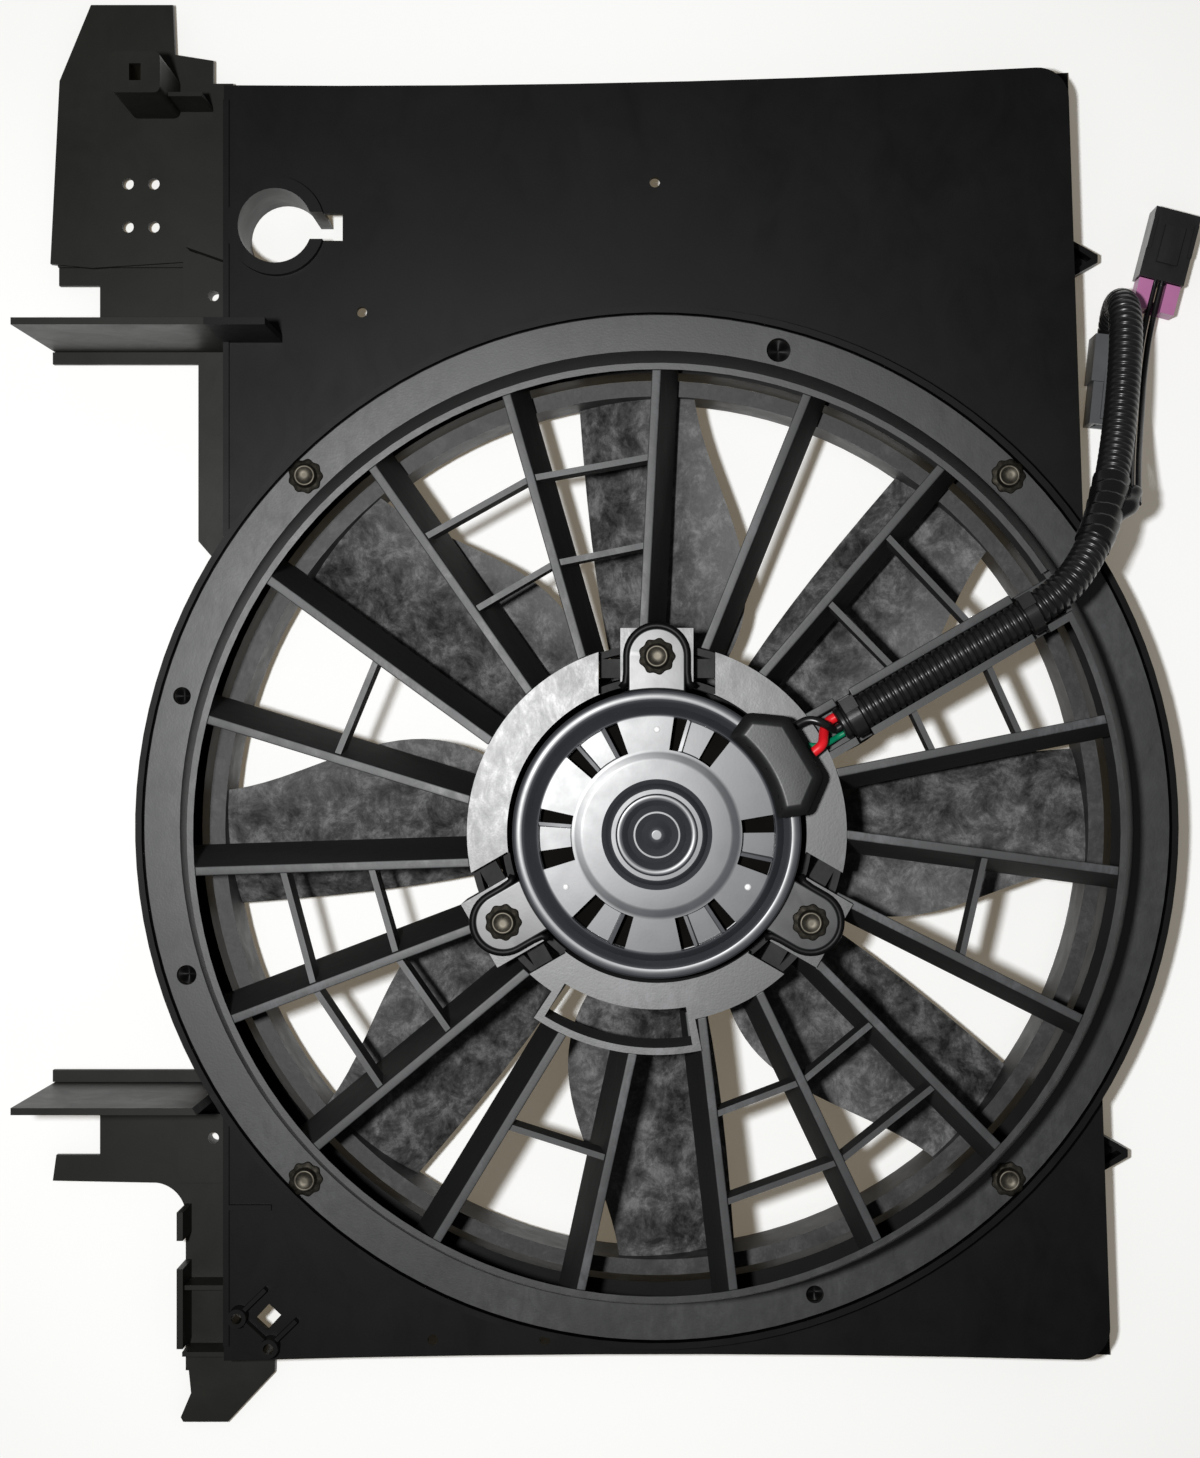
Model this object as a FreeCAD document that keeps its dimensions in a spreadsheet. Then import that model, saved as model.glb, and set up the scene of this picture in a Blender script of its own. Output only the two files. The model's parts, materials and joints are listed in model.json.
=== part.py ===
"""Radiator fan module lying on its radiator side: a moulded shroud with a stator guard, an electric
motor, a ringed fan and a wiring harness.

Millimetres. +Z is the fan axis, pointing to the engine side, and +Y is the shroud's long way. The
origin is on the surface that the module lies on, under the middle of the shroud's own outline. All
sketches are drawn about the fan axis, and each sub-part is then placed at that axis.
"""

import FreeCAD, Part
import math
import os

import Sketcher

Vector = FreeCAD.Vector

# Driving dimensions. Radii and places are measured from the fan axis, heights from the surface.
SIZES = {
    # shroud pan
    "panel_left": 167.0,
    "panel_right_top": 158.5,
    "panel_right_bottom": 175.3,
    "panel_top_left": 286.0,
    "panel_top_right": 293.5,
    "panel_bottom": 206.0,
    "panel_top": 30.0,
    "panel_bow": 2.6,
    "panel_corner_radius": 12.0,
    "panel_wall": 3.0,
    "lip_width": 4.5,
    "lip_thickness": 2.5,
    # collar round the fan
    "rim_clearance": 0.8,
    "rim_wall": 2.4,
    "rim_top": 40.0,
    "land_top": 34.5,
    "land_thickness": 2.5,
    "throat_step": 5.7,
    "throat_wall": 2.5,
    "throat_bottom": 12.0,
    "screw_boss_radius": 6.5,
    "screw_boss_bottom": 16.0,
    # hose keyhole in the pan
    "keyhole_x": 146.7,
    "keyhole_y": 231.2,
    "keyhole_radius": 14.3,
    "keyhole_wall": 4.6,
    "keyhole_lip": 4.0,
    "keyhole_slot_width": 10.4,
    "keyhole_slot_end": 121.2,
    # small features of the pan
    "pan_hole_radius": 2.0,
    "peg_length": 12.3,
    "peg_base": 18.0,
    "peg_tip": 3.0,
    "peg_height": 12.0,
    "upper_peg_y": 222.5,
    "lower_peg_y": 129.0,
    "edge_ridge_width": 2.2,
    "edge_ridge_height": 2.0,
    # side brackets
    "bracket_reach": 239.0,
    "bracket_sheet": 3.0,
    "bracket_base": 2.0,
    "upper_plate_top": 9.0,
    "bracket_pad_top": 10.0,
    "fin_top": 74.0,
    "fin_thickness": 2.6,
    "upper_fin_y": 188.0,
    "lower_fin_y": 103.2,
    "fin_root_end": 144.4,
    "fin_flange": 6.0,
    "upper_bracket_end": 323.0,
    "lower_bracket_end": 236.4,
    "relay_hole_radius": 2.25,
    "relay_hole_pitch_x": 10.2,
    "relay_hole_pitch_y": 17.0,
    "relay_hole_x": 203.3,
    "relay_hole_y": 244.0,
    "mount_hole_radius": 2.2,
    "mount_hole_x": 174.6,
    "upper_mount_hole_y": 208.3,
    "lower_mount_hole_y": 123.3,
    "tower_x": 197.2,
    "tower_y": 286.0,
    "tower_width": 19.0,
    "tower_depth": 15.6,
    "tower_top": 50.0,
    "tower_wall": 2.4,
    "tower_slot_width": 4.4,
    "tower_slot_length": 6.4,
    "clip_boss_radius": 3.6,
    "clip_boss_bore": 2.0,
    "clip_boss_height": 8.0,
    # stator guard
    "guard_top": 88.0,
    "guard_flange_width": 15.8,
    "guard_flange_thickness": 3.5,
    "barrel_top_radius": 168.2,
    "barrel_foot_radius": 180.2,
    "barrel_wall": 2.3,
    "guard_hole_edge": 6.0,
    "guard_hole_radius": 3.2,
    "spare_hole_edge": 7.5,
    "hub_radius": 68.9,
    "hub_bore_radius": 54.4,
    "hub_wall": 2.5,
    "hub_sheet": 3.0,
    "hub_bottom": 60.0,
    "boss_rise": 3.0,
    "boss_width": 26.4,
    "boss_reach": 74.2,
    "boss_notch": 8.0,
    "boss_notch_depth": 9.0,
    "window_reach": 80.5,
    "window_inset": 64.0,
    "window_start": 238.5,
    "window_end": 279.5,
    "vane_count": 19,
    "vane_top_width": 3.4,
    "vane_bottom_width": 2.2,
    "vane_bottom": 46.0,
    "vane_cant": 7.0,
    "vane_offset": 8.6,
    "vane_phase": 87.1,
    "tie_bar_width": 2.2,
    "tie_bar_top": 86.0,
    "tie_bar_height": 14.0,
    "tie_bar_outer": 134.9,
    "tie_bar_inner": 103.3,
    "tie_bar_single": 118.2,
    # hexagon flange screws
    "screw_shank_radius": 2.9,
    "screw_flange_radius": 6.7,
    "screw_flange_height": 1.4,
    "screw_head_flats": 8.0,
    "screw_head_height": 4.6,
    "screw_length": 14.0,
    "screw_clearance": 0.15,
    # motor
    "motor_bolt_circle": 63.9,
    "motor_flange_radius": 52.0,
    "motor_flange_thickness": 2.4,
    "motor_tab_width": 20.6,
    "motor_hole_radius": 3.2,
    "motor_rim_inner": 48.0,
    "motor_rim_top": 99.0,
    "can_radius": 44.0,
    "can_wall": 1.8,
    "can_bottom": 26.0,
    "cap_sheet": 1.6,
    "cap_plate_top": 99.5,
    "cap_disc_top": 102.5,
    "cap_disc_radius": 29.0,
    "cap_cup_radius": 18.6,
    "cap_cup_top": 106.0,
    "cap_window_inner": 30.6,
    "cap_window_outer": 42.4,
    "cap_window_angle": 30.0,
    "cap_window_first": 67.0,
    "cap_window_pitch": 57.5,
    "cap_window_count": 6,
    "cap_window_drop": 4.0,
    "louvre_slot_angle": 7.0,
    "cap_hole_radius": 1.3,
    "cap_hole_circle": 37.5,
    "bearing_radius": 9.0,
    "bearing_length": 8.0,
    "shaft_radius": 4.0,
    "running_clearance": 0.05,
    "magnet_thickness": 6.0,
    "magnet_angle": 72.0,
    "magnet_length": 36.0,
    "air_gap": 0.8,
    "core_length": 28.0,
    "core_centre": 58.0,
    "core_teeth": 12,
    "core_slot_width": 3.0,
    "core_slot_depth": 12.0,
    "winding_overhang": 7.0,
    "commutator_radius": 11.0,
    "commutator_length": 12.0,
    "commutator_top": 90.0,
    "brush_width": 6.0,
    "brush_height": 8.0,
    "brush_length": 14.0,
    "brush_gap": 0.3,
    "brush_spring_radius": 2.2,
    "brush_spring_wire": 0.5,
    "brush_spring_length": 9.0,
    "brush_card_thickness": 2.0,
    # cover over the motor leads
    "cover_inner": 43.4,
    "cover_outer": 63.0,
    "cover_start": 7.8,
    "cover_end": 53.6,
    "cover_chamfer": 8.8,
    "cover_chamfer_angle": 11.5,
    "cover_slope": 4.0,
    "cover_top": 112.0,
    "cover_seat": 0.3,
    # fan
    "fan_hub_radius": 61.0,
    "fan_hub_wall": 2.6,
    "fan_hub_bottom": 13.0,
    "fan_hub_top": 42.0,
    "fan_bore_boss": 9.0,
    "fan_clearance": 4.2,
    "fan_lip_reach": 5.9,
    "fan_ring_wall": 2.8,
    "fan_ring_bottom": 15.0,
    "fan_ring_top": 42.0,
    "fan_ring_lip": 2.4,
    "blade_count": 8,
    "blade_first": 2.8,
    "blade_root_leading": 13.0,
    "blade_root_trailing": 24.0,
    "blade_belly_radius": 105.0,
    "blade_belly_leading": 19.5,
    "blade_belly_trailing": 37.0,
    "blade_neck_inset": 24.4,
    "blade_neck_leading": 21.5,
    "blade_neck_trailing": 27.0,
    "blade_tip_width": 44.6,
    "blade_low": 18.0,
    "blade_root_high": 40.0,
    "blade_tip_high": 36.0,
    "blade_thickness": 2.8,
    "blade_camber": 3.0,
    "fan_nut_flats": 13.0,
    "fan_nut_height": 6.0,
    # harness
    "conduit_radius": 6.4,
    "channel_clearance": 0.2,
    "conduit_swing": 4.0,
    "channel_floor": 2.2,
    "conduit_start": 77.0,
    "cable_tie_width": 4.6,
    "cable_tie_thickness": 1.1,
    "tie_clearance": 0.15,
    "cable_tie_first": 83.0,
    "cable_tie_edge": 11.2,
    "tie_notch": 6.4,
    "tape_thickness": 0.9,
    "red_wire_radius": 1.8,
    "green_wire_radius": 1.1,
    "black_wire_radius": 1.5,
    "lead_radius": 1.2,
    "power_plug_width": 16.0,
    "power_plug_length": 35.0,
    "power_plug_height": 17.0,
    "power_plug_turn": 6.0,
    "power_plug_x": 177.9,
    "power_plug_y": 174.2,
    "socket_wall": 2.4,
    "socket_depth": 12.0,
    "plug_entry_depth": 11.0,
    "plug_entry_clearance": 1.3,
    "sensor_plug_width": 18.0,
    "sensor_plug_length": 28.0,
    "sensor_plug_height": 14.6,
    "sensor_plug_turn": 14.5,
    "sensor_plug_x": 201.2,
    "sensor_plug_y": 227.0,
    "latch_width": 8.0,
    "latch_length": 15.0,
    "latch_height": 2.4,
    "lock_prong_width": 5.6,
    "lock_inset": 0.7,
    "lock_length": 11.5,
    "lock_height": 11.0,
    "lock_bottom": 2.0,
    "lock_tongue": 6.0,
    "lock_tongue_width": 3.0,
    "lock_clearance": 0.35,
}


# ---------------------------------------------------------------- sizes and the document


class Size:
    """A number together with the sheet expression that it comes from."""

    def __init__(self, value, text):
        self.value = float(value)
        self.text = text

    def joined(self, other, sign, value):
        return Size(value, "(%s %s %s)" % (self.text, sign, text(other)))

    def __add__(self, other):
        return self.joined(other, "+", self.value + number(other))

    def __sub__(self, other):
        return self.joined(other, "-", self.value - number(other))

    def __mul__(self, other):
        return self.joined(other, "*", self.value * number(other))

    def __truediv__(self, other):
        return self.joined(other, "/", self.value / number(other))

    def __neg__(self):
        return Size(-self.value, "(-1 * %s)" % self.text)

    def __radd__(self, other):
        return self + other

    def __rsub__(self, other):
        return -self + other

    def __rmul__(self, other):
        return self * other

    def __rtruediv__(self, other):
        return Size(other / self.value, "(%s / %s)" % (text(other), self.text))

    def __float__(self):
        return self.value


def number(value):
    return value.value if isinstance(value, Size) else float(value)


def text(value):
    return value.text if isinstance(value, Size) else repr(float(value))


def cosine(angle):
    return Size(math.cos(math.radians(number(angle))), "cos(%s)" % text(angle))


def sine(angle):
    return Size(math.sin(math.radians(number(angle))), "sin(%s)" % text(angle))


class Sheet:
    """The driving dimensions, each read as an attribute of its own name."""

    def __init__(self, document, sizes):
        self.cells = document.addObject("Spreadsheet::Sheet", "Sizes")
        for row, (name, value) in enumerate(sizes.items(), start=1):
            self.cells.set("A%d" % row, name)
            self.cells.set("B%d" % row, str(value))
            self.cells.setAlias("B%d" % row, name)
        document.recompute()
        self.names = set(sizes)

    def __getattr__(self, name):
        if name == "names" or name not in self.names:
            raise AttributeError(name)
        return Size(self.cells.get(name), "Sizes." + name)


doc = FreeCAD.newDocument("radiator_fan_module")
s = Sheet(doc, SIZES)

# Radii of the collar, guard and fan, which stand one inside another round the guard's barrel.


def flange_radius():
    """How far the guard's flange reaches."""
    return s.barrel_foot_radius + s.guard_flange_width


def screw_circle():
    return flange_radius() - s.guard_hole_edge


def rim_radius():
    """The outside of the collar's rim, which stands round the guard's flange."""
    return flange_radius() + s.rim_clearance + s.rim_wall


def throat_radius():
    """The inside of the shroud's throat, a step inside the guard's barrel."""
    return s.barrel_foot_radius - s.throat_step


def fan_ring_outer():
    return throat_radius() - s.fan_clearance


def fan_ring_bore():
    return fan_ring_outer() - s.fan_lip_reach


def second_tie():
    """Where along its channel the conduit's outer cable tie sits."""
    return s.barrel_top_radius - s.cable_tie_edge


# The origin is under the middle of the outline that the shroud's brackets, pan and collar reach.
AXIS_X = (s.bracket_reach - rim_radius()) / 2
AXIS_Y = (s.lower_bracket_end - s.upper_bracket_end) / 2
PARTS = []


def bind(target, name, value):
    """Set a property from a size, as an expression where it comes from the sheet."""
    if isinstance(value, Size):
        target.setExpression(name, value.text)
    else:
        target.setExpression(name, repr(float(value)))


def keep(target, label, x=0.0, y=0.0, angle=0.0):
    """Name a finished sub-part and place it at the fan axis, or off it by x and y."""
    target.Label = label
    bind(target, "Placement.Base.x", AXIS_X + x)
    bind(target, "Placement.Base.y", AXIS_Y + y)
    bind(target, "Placement.Rotation.Angle", angle)
    PARTS.append(target)
    return target


def new_body(name):
    return doc.addObject("PartDesign::Body", name + "_body")


def origin_feature(body, role):
    return next(item for item in body.Origin.OriginFeatures if item.Role == role)


# ---------------------------------------------------------------- sketches and features


def new_sketch(body, name, role="XY_Plane", height=0):
    sketch = body.newObject("Sketcher::SketchObject", name)
    sketch.AttachmentSupport = (origin_feature(body, role), [""])
    sketch.MapMode = "FlatFace"
    bind(sketch, "AttachmentOffset.Base.z", height)
    return sketch


def constrain(sketch, constraint, value):
    index = sketch.addConstraint(constraint)
    if isinstance(value, Size):
        sketch.setExpression("Constraints[%d]" % index, value.text)


def pin(sketch, item, end, point):
    """Hold one point of a sketch at its two coordinates."""
    for kind, axis, value in (("DistanceX", -2, point[0]), ("DistanceY", -1, point[1])):
        if isinstance(value, Size) or abs(value) > 1e-9:
            rule = Sketcher.Constraint(kind, -1, 1, item, end, number(value))
            constrain(sketch, rule, value)
        else:
            sketch.addConstraint(Sketcher.Constraint("PointOnObject", item, end, axis))


def as_vector(point):
    return Vector(number(point[0]), number(point[1]), 0)


def bowed_edge(start, end, bow):
    """An arc from start to end whose middle stands off the chord to the right by bow."""
    chord = end - start
    side = Vector(chord.y, -chord.x, 0).normalize()
    return Part.Arc(start, (start + end) * 0.5 + side * number(bow), end)


def add_outline(sketch, points):
    """Close an outline through the points. A point with a third value starts a bowed edge."""
    first = sketch.GeometryCount
    count = len(points)
    corners = [as_vector(point) for point in points]
    ends = []
    for index, point in enumerate(points):
        start = corners[index]
        end = corners[(index + 1) % count]
        if len(point) == 3:
            sketch.addGeometry(bowed_edge(start, end, point[2]), False)
            ends.append((1, 2) if number(point[2]) > 0 else (2, 1))
        else:
            sketch.addGeometry(Part.LineSegment(start, end), False)
            ends.append((1, 2))
    for index, point in enumerate(points):
        item = first + index
        following = first + (index + 1) % count
        rule = Sketcher.Constraint("Coincident", item, ends[index][1], following, ends[(index + 1) % count][0])
        sketch.addConstraint(rule)
        pin(sketch, item, ends[index][0], point)
        if len(point) == 3:
            bow = point[2] if number(point[2]) > 0 else -point[2]
            after = points[(index + 1) % count]
            across = after[0] - point[0]
            along = after[1] - point[1]
            radius = (across * across + along * along) / (8 * bow) + bow / 2
            constrain(sketch, Sketcher.Constraint("Radius", item, number(radius)), radius)


def add_circle(sketch, centre, radius):
    circle = Part.Circle(as_vector(centre), Vector(0, 0, 1), number(radius))
    item = sketch.addGeometry(circle, False)
    pin(sketch, item, 3, centre)
    constrain(sketch, Sketcher.Constraint("Radius", item, number(radius)), radius)


def feature(body, kind, name, profile):
    made = body.newObject("PartDesign::" + kind, name)
    made.Profile = profile
    return made


def pad(body, name, profile, length, downward=False):
    made = feature(body, "Pad", name, profile)
    bind(made, "Length", length)
    made.Reversed = downward
    return made


def cut(body, name, profile, depth=None, upward=False):
    """Pocket a profile to a depth, or through everything, and check that material left."""
    before = solid_volume(body)
    made = feature(body, "Pocket", name, profile)
    if depth is None:
        made.Type = "ThroughAll"
        made.Midplane = True
    else:
        bind(made, "Length", depth)
        made.Reversed = upward
    if solid_volume(body) >= before:
        raise RuntimeError("%s cuts nothing" % name)
    return made


def solid_volume(body):
    doc.recompute()
    return body.Shape.Volume


def revolve(body, name, profile, angle=360.0, middle=0.0):
    """Turn a profile of the XZ plane about the fan axis."""
    made = feature(body, "Revolution", name, profile)
    made.ReferenceAxis = (profile, ["V_Axis"])
    bind(made, "Angle", angle)
    made.Midplane = number(angle) < 360
    return made


def groove(body, name, profile, angle=360.0):
    before = solid_volume(body)
    made = feature(body, "Groove", name, profile)
    made.ReferenceAxis = (profile, ["V_Axis"])
    bind(made, "Angle", angle)
    made.Midplane = number(angle) < 360
    if solid_volume(body) >= before:
        raise RuntimeError("%s cuts nothing" % name)
    return made


def repeat(body, name, features, count, angle=360.0):
    """Repeat features round the fan axis and make the result the body's tip."""
    made = body.newObject("PartDesign::PolarPattern", name)
    made.Originals = features
    made.Axis = (origin_feature(body, "Z_Axis"), [""])
    bind(made, "Angle", angle)
    bind(made, "Occurrences", count)
    body.Tip = made
    return made


def upright_edges(shape, corners):
    """The names of the upright straight edges that stand at the given corners."""
    found = []
    for index, edge in enumerate(shape.Edges, start=1):
        start, end = edge.firstVertex().Point, edge.lastVertex().Point
        upright = abs(start.z - end.z) > 0.5 and (start - end).cross(Vector(0, 0, 1)).Length < 0.001
        if upright and any((as_vector(c) - Vector(start.x, start.y, 0)).Length < 0.05 for c in corners):
            found.append("Edge%d" % index)
    return found


def round_corners(body, name, corners, radius):
    doc.recompute()
    base = body.Tip
    edges = upright_edges(base.Shape, corners)
    if not edges:
        raise RuntimeError("%s finds no edges" % name)
    made = body.newObject("PartDesign::Fillet", name)
    made.Base = (base, edges)
    bind(made, "Radius", radius)
    return made


def revolved_body(label, points):
    """A body turned from one closed profile of radius and height pairs."""
    body = new_body(label)
    profile = new_sketch(body, label + "_profile", "XZ_Plane")
    add_outline(profile, points)
    revolve(body, label + "_turned", profile)
    return body


def box_outline(x_low, x_high, y_low, y_high):
    return [(x_low, y_low), (x_high, y_low), (x_high, y_high), (x_low, y_high)]


def padded_outline(body, name, points, bottom, top):
    profile = new_sketch(body, name + "_outline", "XY_Plane", bottom)
    add_outline(profile, points)
    return pad(body, name, profile, top - bottom)


def around(radius, angle):
    return radius * cosine(angle), radius * sine(angle)


# ---------------------------------------------------------------- shroud moulding


def pan_outline(inset):
    """The pan's outline, drawn in from its outer wall by inset or out to the lip with a minus."""
    left = -s.panel_left + inset if number(inset) > 0 else -s.panel_left
    return [
        (left, -s.panel_bottom + inset, -s.panel_bow),
        (s.panel_right_bottom - inset, -s.panel_bottom + inset),
        (s.panel_right_top - inset, s.panel_top_right - inset, -s.panel_bow),
        (left, s.panel_top_left - inset),
    ]


def pan_right_edge(y):
    """Where the slanting right wall stands at a height y along the pan."""
    slope = (s.panel_right_top - s.panel_right_bottom) / (s.panel_top_right + s.panel_bottom)
    return s.panel_right_bottom + (y + s.panel_bottom) * slope


def make_shroud_panel():
    body = new_body("shroud_panel")
    padded_outline(body, "pan_lip", pan_outline(-s.lip_width), 0, s.lip_thickness)
    padded_outline(body, "pan_block", pan_outline(0), 0, s.panel_top)
    right_corners = [pan_outline(0)[1], pan_outline(0)[2]]
    round_corners(body, "pan_corners", right_corners, s.panel_corner_radius)
    collar = new_sketch(body, "collar_outline")
    add_circle(collar, (0, 0), rim_radius())
    pad(body, "collar_block", collar, s.rim_top)
    hollow = new_sketch(body, "pan_hollow_outline")
    add_outline(hollow, pan_outline(s.panel_wall))
    cut(body, "pan_hollow", hollow, s.panel_top - s.panel_wall, upward=True)
    below = new_sketch(body, "land_hollow_outline")
    add_circle(below, (0, 0), rim_radius() - s.rim_wall)
    cut(body, "land_hollow", below, s.land_top - s.land_thickness, upward=True)
    above = new_sketch(body, "rim_recess_outline", "XY_Plane", s.land_top)
    add_circle(above, (0, 0), rim_radius() - s.rim_wall)
    cut(body, "rim_recess", above, s.rim_top - s.land_top, upward=True)
    throat = new_sketch(body, "throat_outline")
    add_circle(throat, (0, 0), throat_radius() + s.throat_wall / 2)
    cut(body, "throat_hole", throat)
    wall = new_sketch(body, "throat_profile", "XZ_Plane")
    add_outline(wall, box_outline(throat_radius(), throat_radius() + s.throat_wall, s.throat_bottom, s.land_top))
    revolve(body, "throat_wall_ring", wall)
    add_screw_bosses(body)
    add_spare_holes(body, "land_spare", s.land_top, s.land_thickness)
    add_keyhole(body)
    add_pan_details(body)
    return keep(body, "shroud_panel")


def add_screw_bosses(body):
    """Four tubes under the land that take the guard's screws."""
    ring = new_sketch(body, "screw_boss_outline", "XY_Plane", s.screw_boss_bottom)
    add_circle(ring, around(screw_circle(), 45.0), s.screw_boss_radius)
    boss = pad(body, "screw_boss", ring, s.land_top - s.land_thickness / 2 - s.screw_boss_bottom)
    repeat(body, "screw_bosses", [boss], 4)
    bore = new_sketch(body, "screw_bore_outline", "XY_Plane", s.land_top)
    add_circle(bore, around(screw_circle(), 45.0), s.screw_shank_radius + s.screw_clearance)
    hole = cut(body, "screw_bore", bore, s.land_top + s.rim_wall - s.screw_boss_bottom)
    repeat(body, "screw_bores", [hole], 4)


def add_keyhole(body):
    """A lipped tube through the pan for a hose, open to a slot on its right."""
    centre = (-s.keyhole_x, s.keyhole_y)
    tube = new_sketch(body, "keyhole_outline")
    add_circle(tube, centre, s.keyhole_radius + s.keyhole_wall)
    pad(body, "keyhole_tube", tube, s.panel_top + s.keyhole_lip)
    bore = new_sketch(body, "keyhole_bore_outline")
    add_circle(bore, centre, s.keyhole_radius)
    cut(body, "keyhole_bore", bore)
    half = s.keyhole_slot_width / 2
    slot = new_sketch(body, "keyhole_slot_outline")
    add_outline(slot, box_outline(-s.keyhole_x, -s.keyhole_slot_end, s.keyhole_y - half, s.keyhole_y + half))
    cut(body, "keyhole_slot", slot)


def add_peg(body, name, y):
    """A tapered locating peg on the right wall."""
    wall = pan_right_edge(y) - 1
    reach = wall + s.peg_length + 1
    points = [
        (wall, y - s.peg_base / 2),
        (reach, y - s.peg_tip / 2),
        (reach, y + s.peg_tip / 2),
        (wall, y + s.peg_base / 2),
    ]
    padded_outline(body, name, points, 0, s.peg_height)
    core = [
        (wall + 4, y - s.peg_base / 4),
        (reach - 2.5, y),
        (wall + 4, y + s.peg_base / 4),
    ]
    hollow = new_sketch(body, name + "_core_outline", "XY_Plane", s.peg_height)
    add_outline(hollow, core)
    cut(body, name + "_core", hollow, s.peg_height - 3)


def add_pan_details(body):
    add_peg(body, "upper_peg", s.upper_peg_y)
    add_peg(body, "lower_peg", -s.lower_peg_y)
    holes = new_sketch(body, "pan_hole_outline", "XY_Plane", s.panel_top)
    for x, y in ((-0.8, 248.6), (-113.8, 198.5), (-86.4, -197.9), (-43.2, -197.9)):
        add_circle(holes, (x, y), s.pan_hole_radius)
    cut(body, "pan_holes", holes, s.panel_wall + 1)
    ridge_right = -s.panel_left + s.edge_ridge_width
    ridge_top = s.panel_top + s.edge_ridge_height
    for name, low, high in (("upper_ridge", 112.0, 280.0), ("lower_ridge", -200.0, -112.0)):
        outline = box_outline(-s.panel_left, ridge_right, low, high)
        padded_outline(body, name, outline, s.panel_top - 1, ridge_top)
    padded_outline(body, "lower_rib", box_outline(ridge_right, -148.5, -147.6, -145.6), s.panel_top - 1, ridge_top)
    half = s.fin_thickness / 2
    root = box_outline(-s.panel_left, -s.fin_root_end, s.upper_fin_y - half, s.upper_fin_y + half)
    padded_outline(body, "fin_root", root, s.panel_top - 1, s.fin_top)
    add_clip_seat(body)


def add_clip_seat(body):
    """Two tubes beside a square window with diagonal ribs, where a small clip is fixed."""
    top = s.panel_top + s.clip_boss_height
    tubes = new_sketch(body, "clip_tube_outline", "XY_Plane", s.panel_top - 1)
    for x, y in ((-160.9, -188.0), (-148.7, -199.6)):
        add_circle(tubes, (x, y), s.clip_boss_radius)
    pad(body, "clip_tubes", tubes, s.clip_boss_height + 1)
    for name, start, end in (
        ("clip_rib_middle", (-158.4, -190.6), (-151.2, -197.2)),
        ("clip_rib_upper", (-158.6, -185.6), (-150.4, -177.6)),
        ("clip_rib_lower", (-146.4, -197.2), (-138.6, -189.6)),
    ):
        padded_outline(body, name, bar_outline(start, end, 1.6), s.panel_top - 1, top - 3)
    bores = new_sketch(body, "clip_bore_outline", "XY_Plane", top)
    for x, y in ((-160.9, -188.0), (-148.7, -199.6)):
        add_circle(bores, (x, y), s.clip_boss_bore)
    cut(body, "clip_bores", bores, s.clip_boss_height + s.panel_wall + 1)
    window = new_sketch(body, "clip_window_outline", "XY_Plane", top)
    add_outline(window, bar_outline((-152.4, -191.8), (-147.2, -186.2), 6.4))
    cut(body, "clip_window", window, s.clip_boss_height + s.panel_wall + 1)


def bar_outline(start, end, width):
    """The four corners of a straight bar between two points."""
    chord = as_vector(end) - as_vector(start)
    side = Vector(-chord.y, chord.x, 0).normalize() * (number(width) / 2)
    corners = []
    for point, sign in ((start, -1), (end, -1), (end, 1), (start, 1)):
        corners.append((point[0] + sign * side.x, point[1] + sign * side.y))
    return corners


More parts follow.
